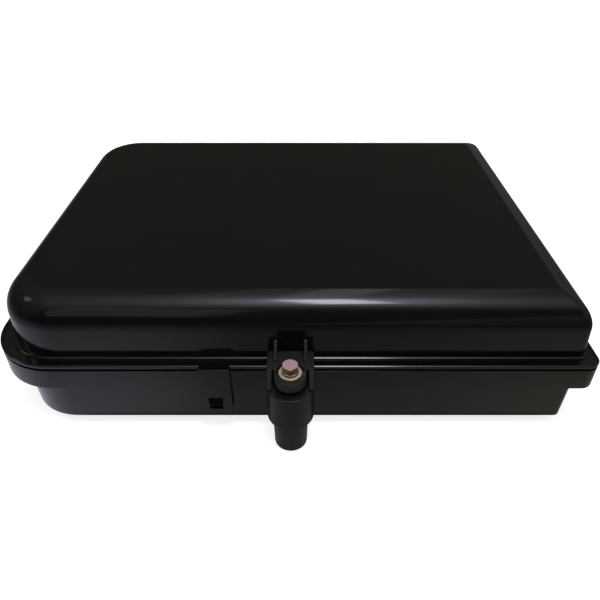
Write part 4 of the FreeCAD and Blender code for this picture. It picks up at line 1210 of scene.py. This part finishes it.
def painted_floor_reflection(s, k):
    """A glowing sheet that only mirrors see, a painted reflection of a lit floor: pale beside the box, painted
    shade before its middle, painted shadow under the box and round the tower's column, dark farther out.
    """
    tree, shader = new_material(
        "painted_reflection_sheet", (0, 0, 0, 1), Roughness=1.0, Specular_IOR_Level=0, Emission_Strength=1
    )
    place = on_object(tree)
    x, y = split(tree, place)[:2]
    beside = maths(tree, "SUBTRACT", maths(tree, "ABSOLUTE", x), s.length / 2)
    before = maths(tree, "SUBTRACT", maths(tree, "ABSOLUTE", y), s.width / 2)
    # Painted reflection: pale near the box, dark farther out
    painted_near = ramp(tree, maths(tree, "DIVIDE", maths(tree, "MAXIMUM", beside, before), REACH), PAINTED_REFLECTION_NEAR)
    # Painted shade: dimmer before the box's middle than towards its ends
    ends = ramp(tree, maths(tree, "ADD", maths(tree, "DIVIDE", x, ACROSS), 0.5), PAINTED_REFLECTION_ACROSS)

    # Painted shadow: the sheet dims to 0.08 under the tray and round the tower's column
    def outside_painted_shade(value, begin, end):
        return span(tree, value, begin, end, 0.08)

    front = maths(tree, "SUBTRACT", maths(tree, "MULTIPLY", y, -1.0), s.width / 2)
    side = maths(tree, "ABSOLUTE", maths(tree, "SUBTRACT", x, 0.02))
    outside_painted_tray_shadow = maths(tree, "MAXIMUM", outside_painted_shade(front, 0.004, 0.009), outside_painted_shade(side, 0.165, 0.180))
    axis = vectors(tree, "DISTANCE", place, (0, k.lock_y, 0))
    outside_painted_tower_shadow = outside_painted_shade(axis, k.column_radius + 0.0005, k.column_radius + 0.0020)
    outside_painted_shadows = maths(tree, "MINIMUM", outside_painted_tray_shadow, outside_painted_tower_shadow)
    glow = vectors(tree, "MULTIPLY", vectors(tree, "MULTIPLY", painted_near, ends), outside_painted_shadows)
    feed(tree, shader, Emission_Color=glow)
    sheet = sheet_of_floor("painted_floor_reflection", 1.2, -0.0002, "painted_reflection_sheet")
    for kind in ("camera", "diffuse", "transmission", "shadow"):
        setattr(sheet, "visible_" + kind, False)


class FIBRE_BOX_OT_stage(Operator):
    """Pale floor, soft studio light and the camera"""

    bl_idname = "fibre_box.stage"
    bl_label = "Stage"

    def execute(self, context):
        scene = context.scene
        v = scene.box_stage
        paper_floor(v)
        painted_floor_reflection(scene.box_sizes, scene.box_lock)
        studio_world(scene, v)
        # Name, place beside the aim, width, depth, power and tint of each light
        for light in (
            ("lamp", v.lamp.normalized() * LAMP_OFF, 0.355, 0.62, v.strip, (0.86, 0.90, 1.0)),
            ("side_panel", v.panel.normalized() * PANEL_OFF, 0.80, 0.95, v.panel_power, WHITE),
            ("left_lamp", (-1.66, 0.10, 1.10), 0.32, 0.34, 0.42, (1.0, 0.76, 0.54)),
            ("ceiling_patch", (0.12, 0.73, 1.86), 0.30, 1.9, 1.1, WHITE),
            ("ceiling_strip", (0.20, 0.73, 1.85), 1.26, 1.9, 1.2, WHITE),
        ):
            area_light(*light)
        data = bpy.data.cameras.new("camera")
        data.sensor_width = 36
        data.lens = v.lens
        data.shift_x = v.shift
        data.clip_start = 0.01
        camera = bpy.data.objects.new("camera", data)
        camera.location = v.camera
        camera.rotation_euler = (math.pi / 2 - v.pitch, 0, 0)
        scene.collection.objects.link(camera)
        scene.camera = camera
        scene.view_settings.view_transform = "Standard"
        return {"FINISHED"}


class FIBRE_BOX_PT_panel(Panel):
    """Builds each piece of the box"""

    bl_label = "Fibre Box"
    bl_idname = "FIBRE_BOX_PT_panel"
    bl_space_type = "VIEW_3D"
    bl_region_type = "UI"
    bl_category = "Fibre Box"

    def draw(self, context):
        for operator in OPERATORS:
            self.layout.operator(operator.bl_idname)


GROUPS = {
    "box_sizes": BoxSizes,
    "box_lock": LockSizes,
    "box_finishes": Finishes,
    "box_stage": StageValues,
}
OPERATORS = (
    FIBRE_BOX_OT_lid,
    FIBRE_BOX_OT_base,
    FIBRE_BOX_OT_lock_bolt,
    FIBRE_BOX_OT_lock_washers,
    FIBRE_BOX_OT_seal_and_hinge,
    FIBRE_BOX_OT_cassettes,
    FIBRE_BOX_OT_adapters,
    FIBRE_BOX_OT_ports,
    FIBRE_BOX_OT_stage,
)
CLASSES = (*GROUPS.values(), *OPERATORS, FIBRE_BOX_PT_panel)


def register():
    for item in CLASSES:
        bpy.utils.register_class(item)
    for name, group in GROUPS.items():
        setattr(bpy.types.Scene, name, PointerProperty(type=group))


def unregister():
    for name in GROUPS:
        delattr(bpy.types.Scene, name)
    for item in reversed(CLASSES):
        bpy.utils.unregister_class(item)


def main():
    register()
    bpy.ops.fibre_box.lid()
    bpy.ops.fibre_box.base()
    bpy.ops.fibre_box.lock_bolt()
    bpy.ops.fibre_box.lock_washers()
    bpy.ops.fibre_box.seal_and_hinge()
    bpy.ops.fibre_box.cassettes()
    bpy.ops.fibre_box.adapters()
    bpy.ops.fibre_box.ports()
    bpy.ops.fibre_box.stage()


if __name__ == "__main__":
    main()
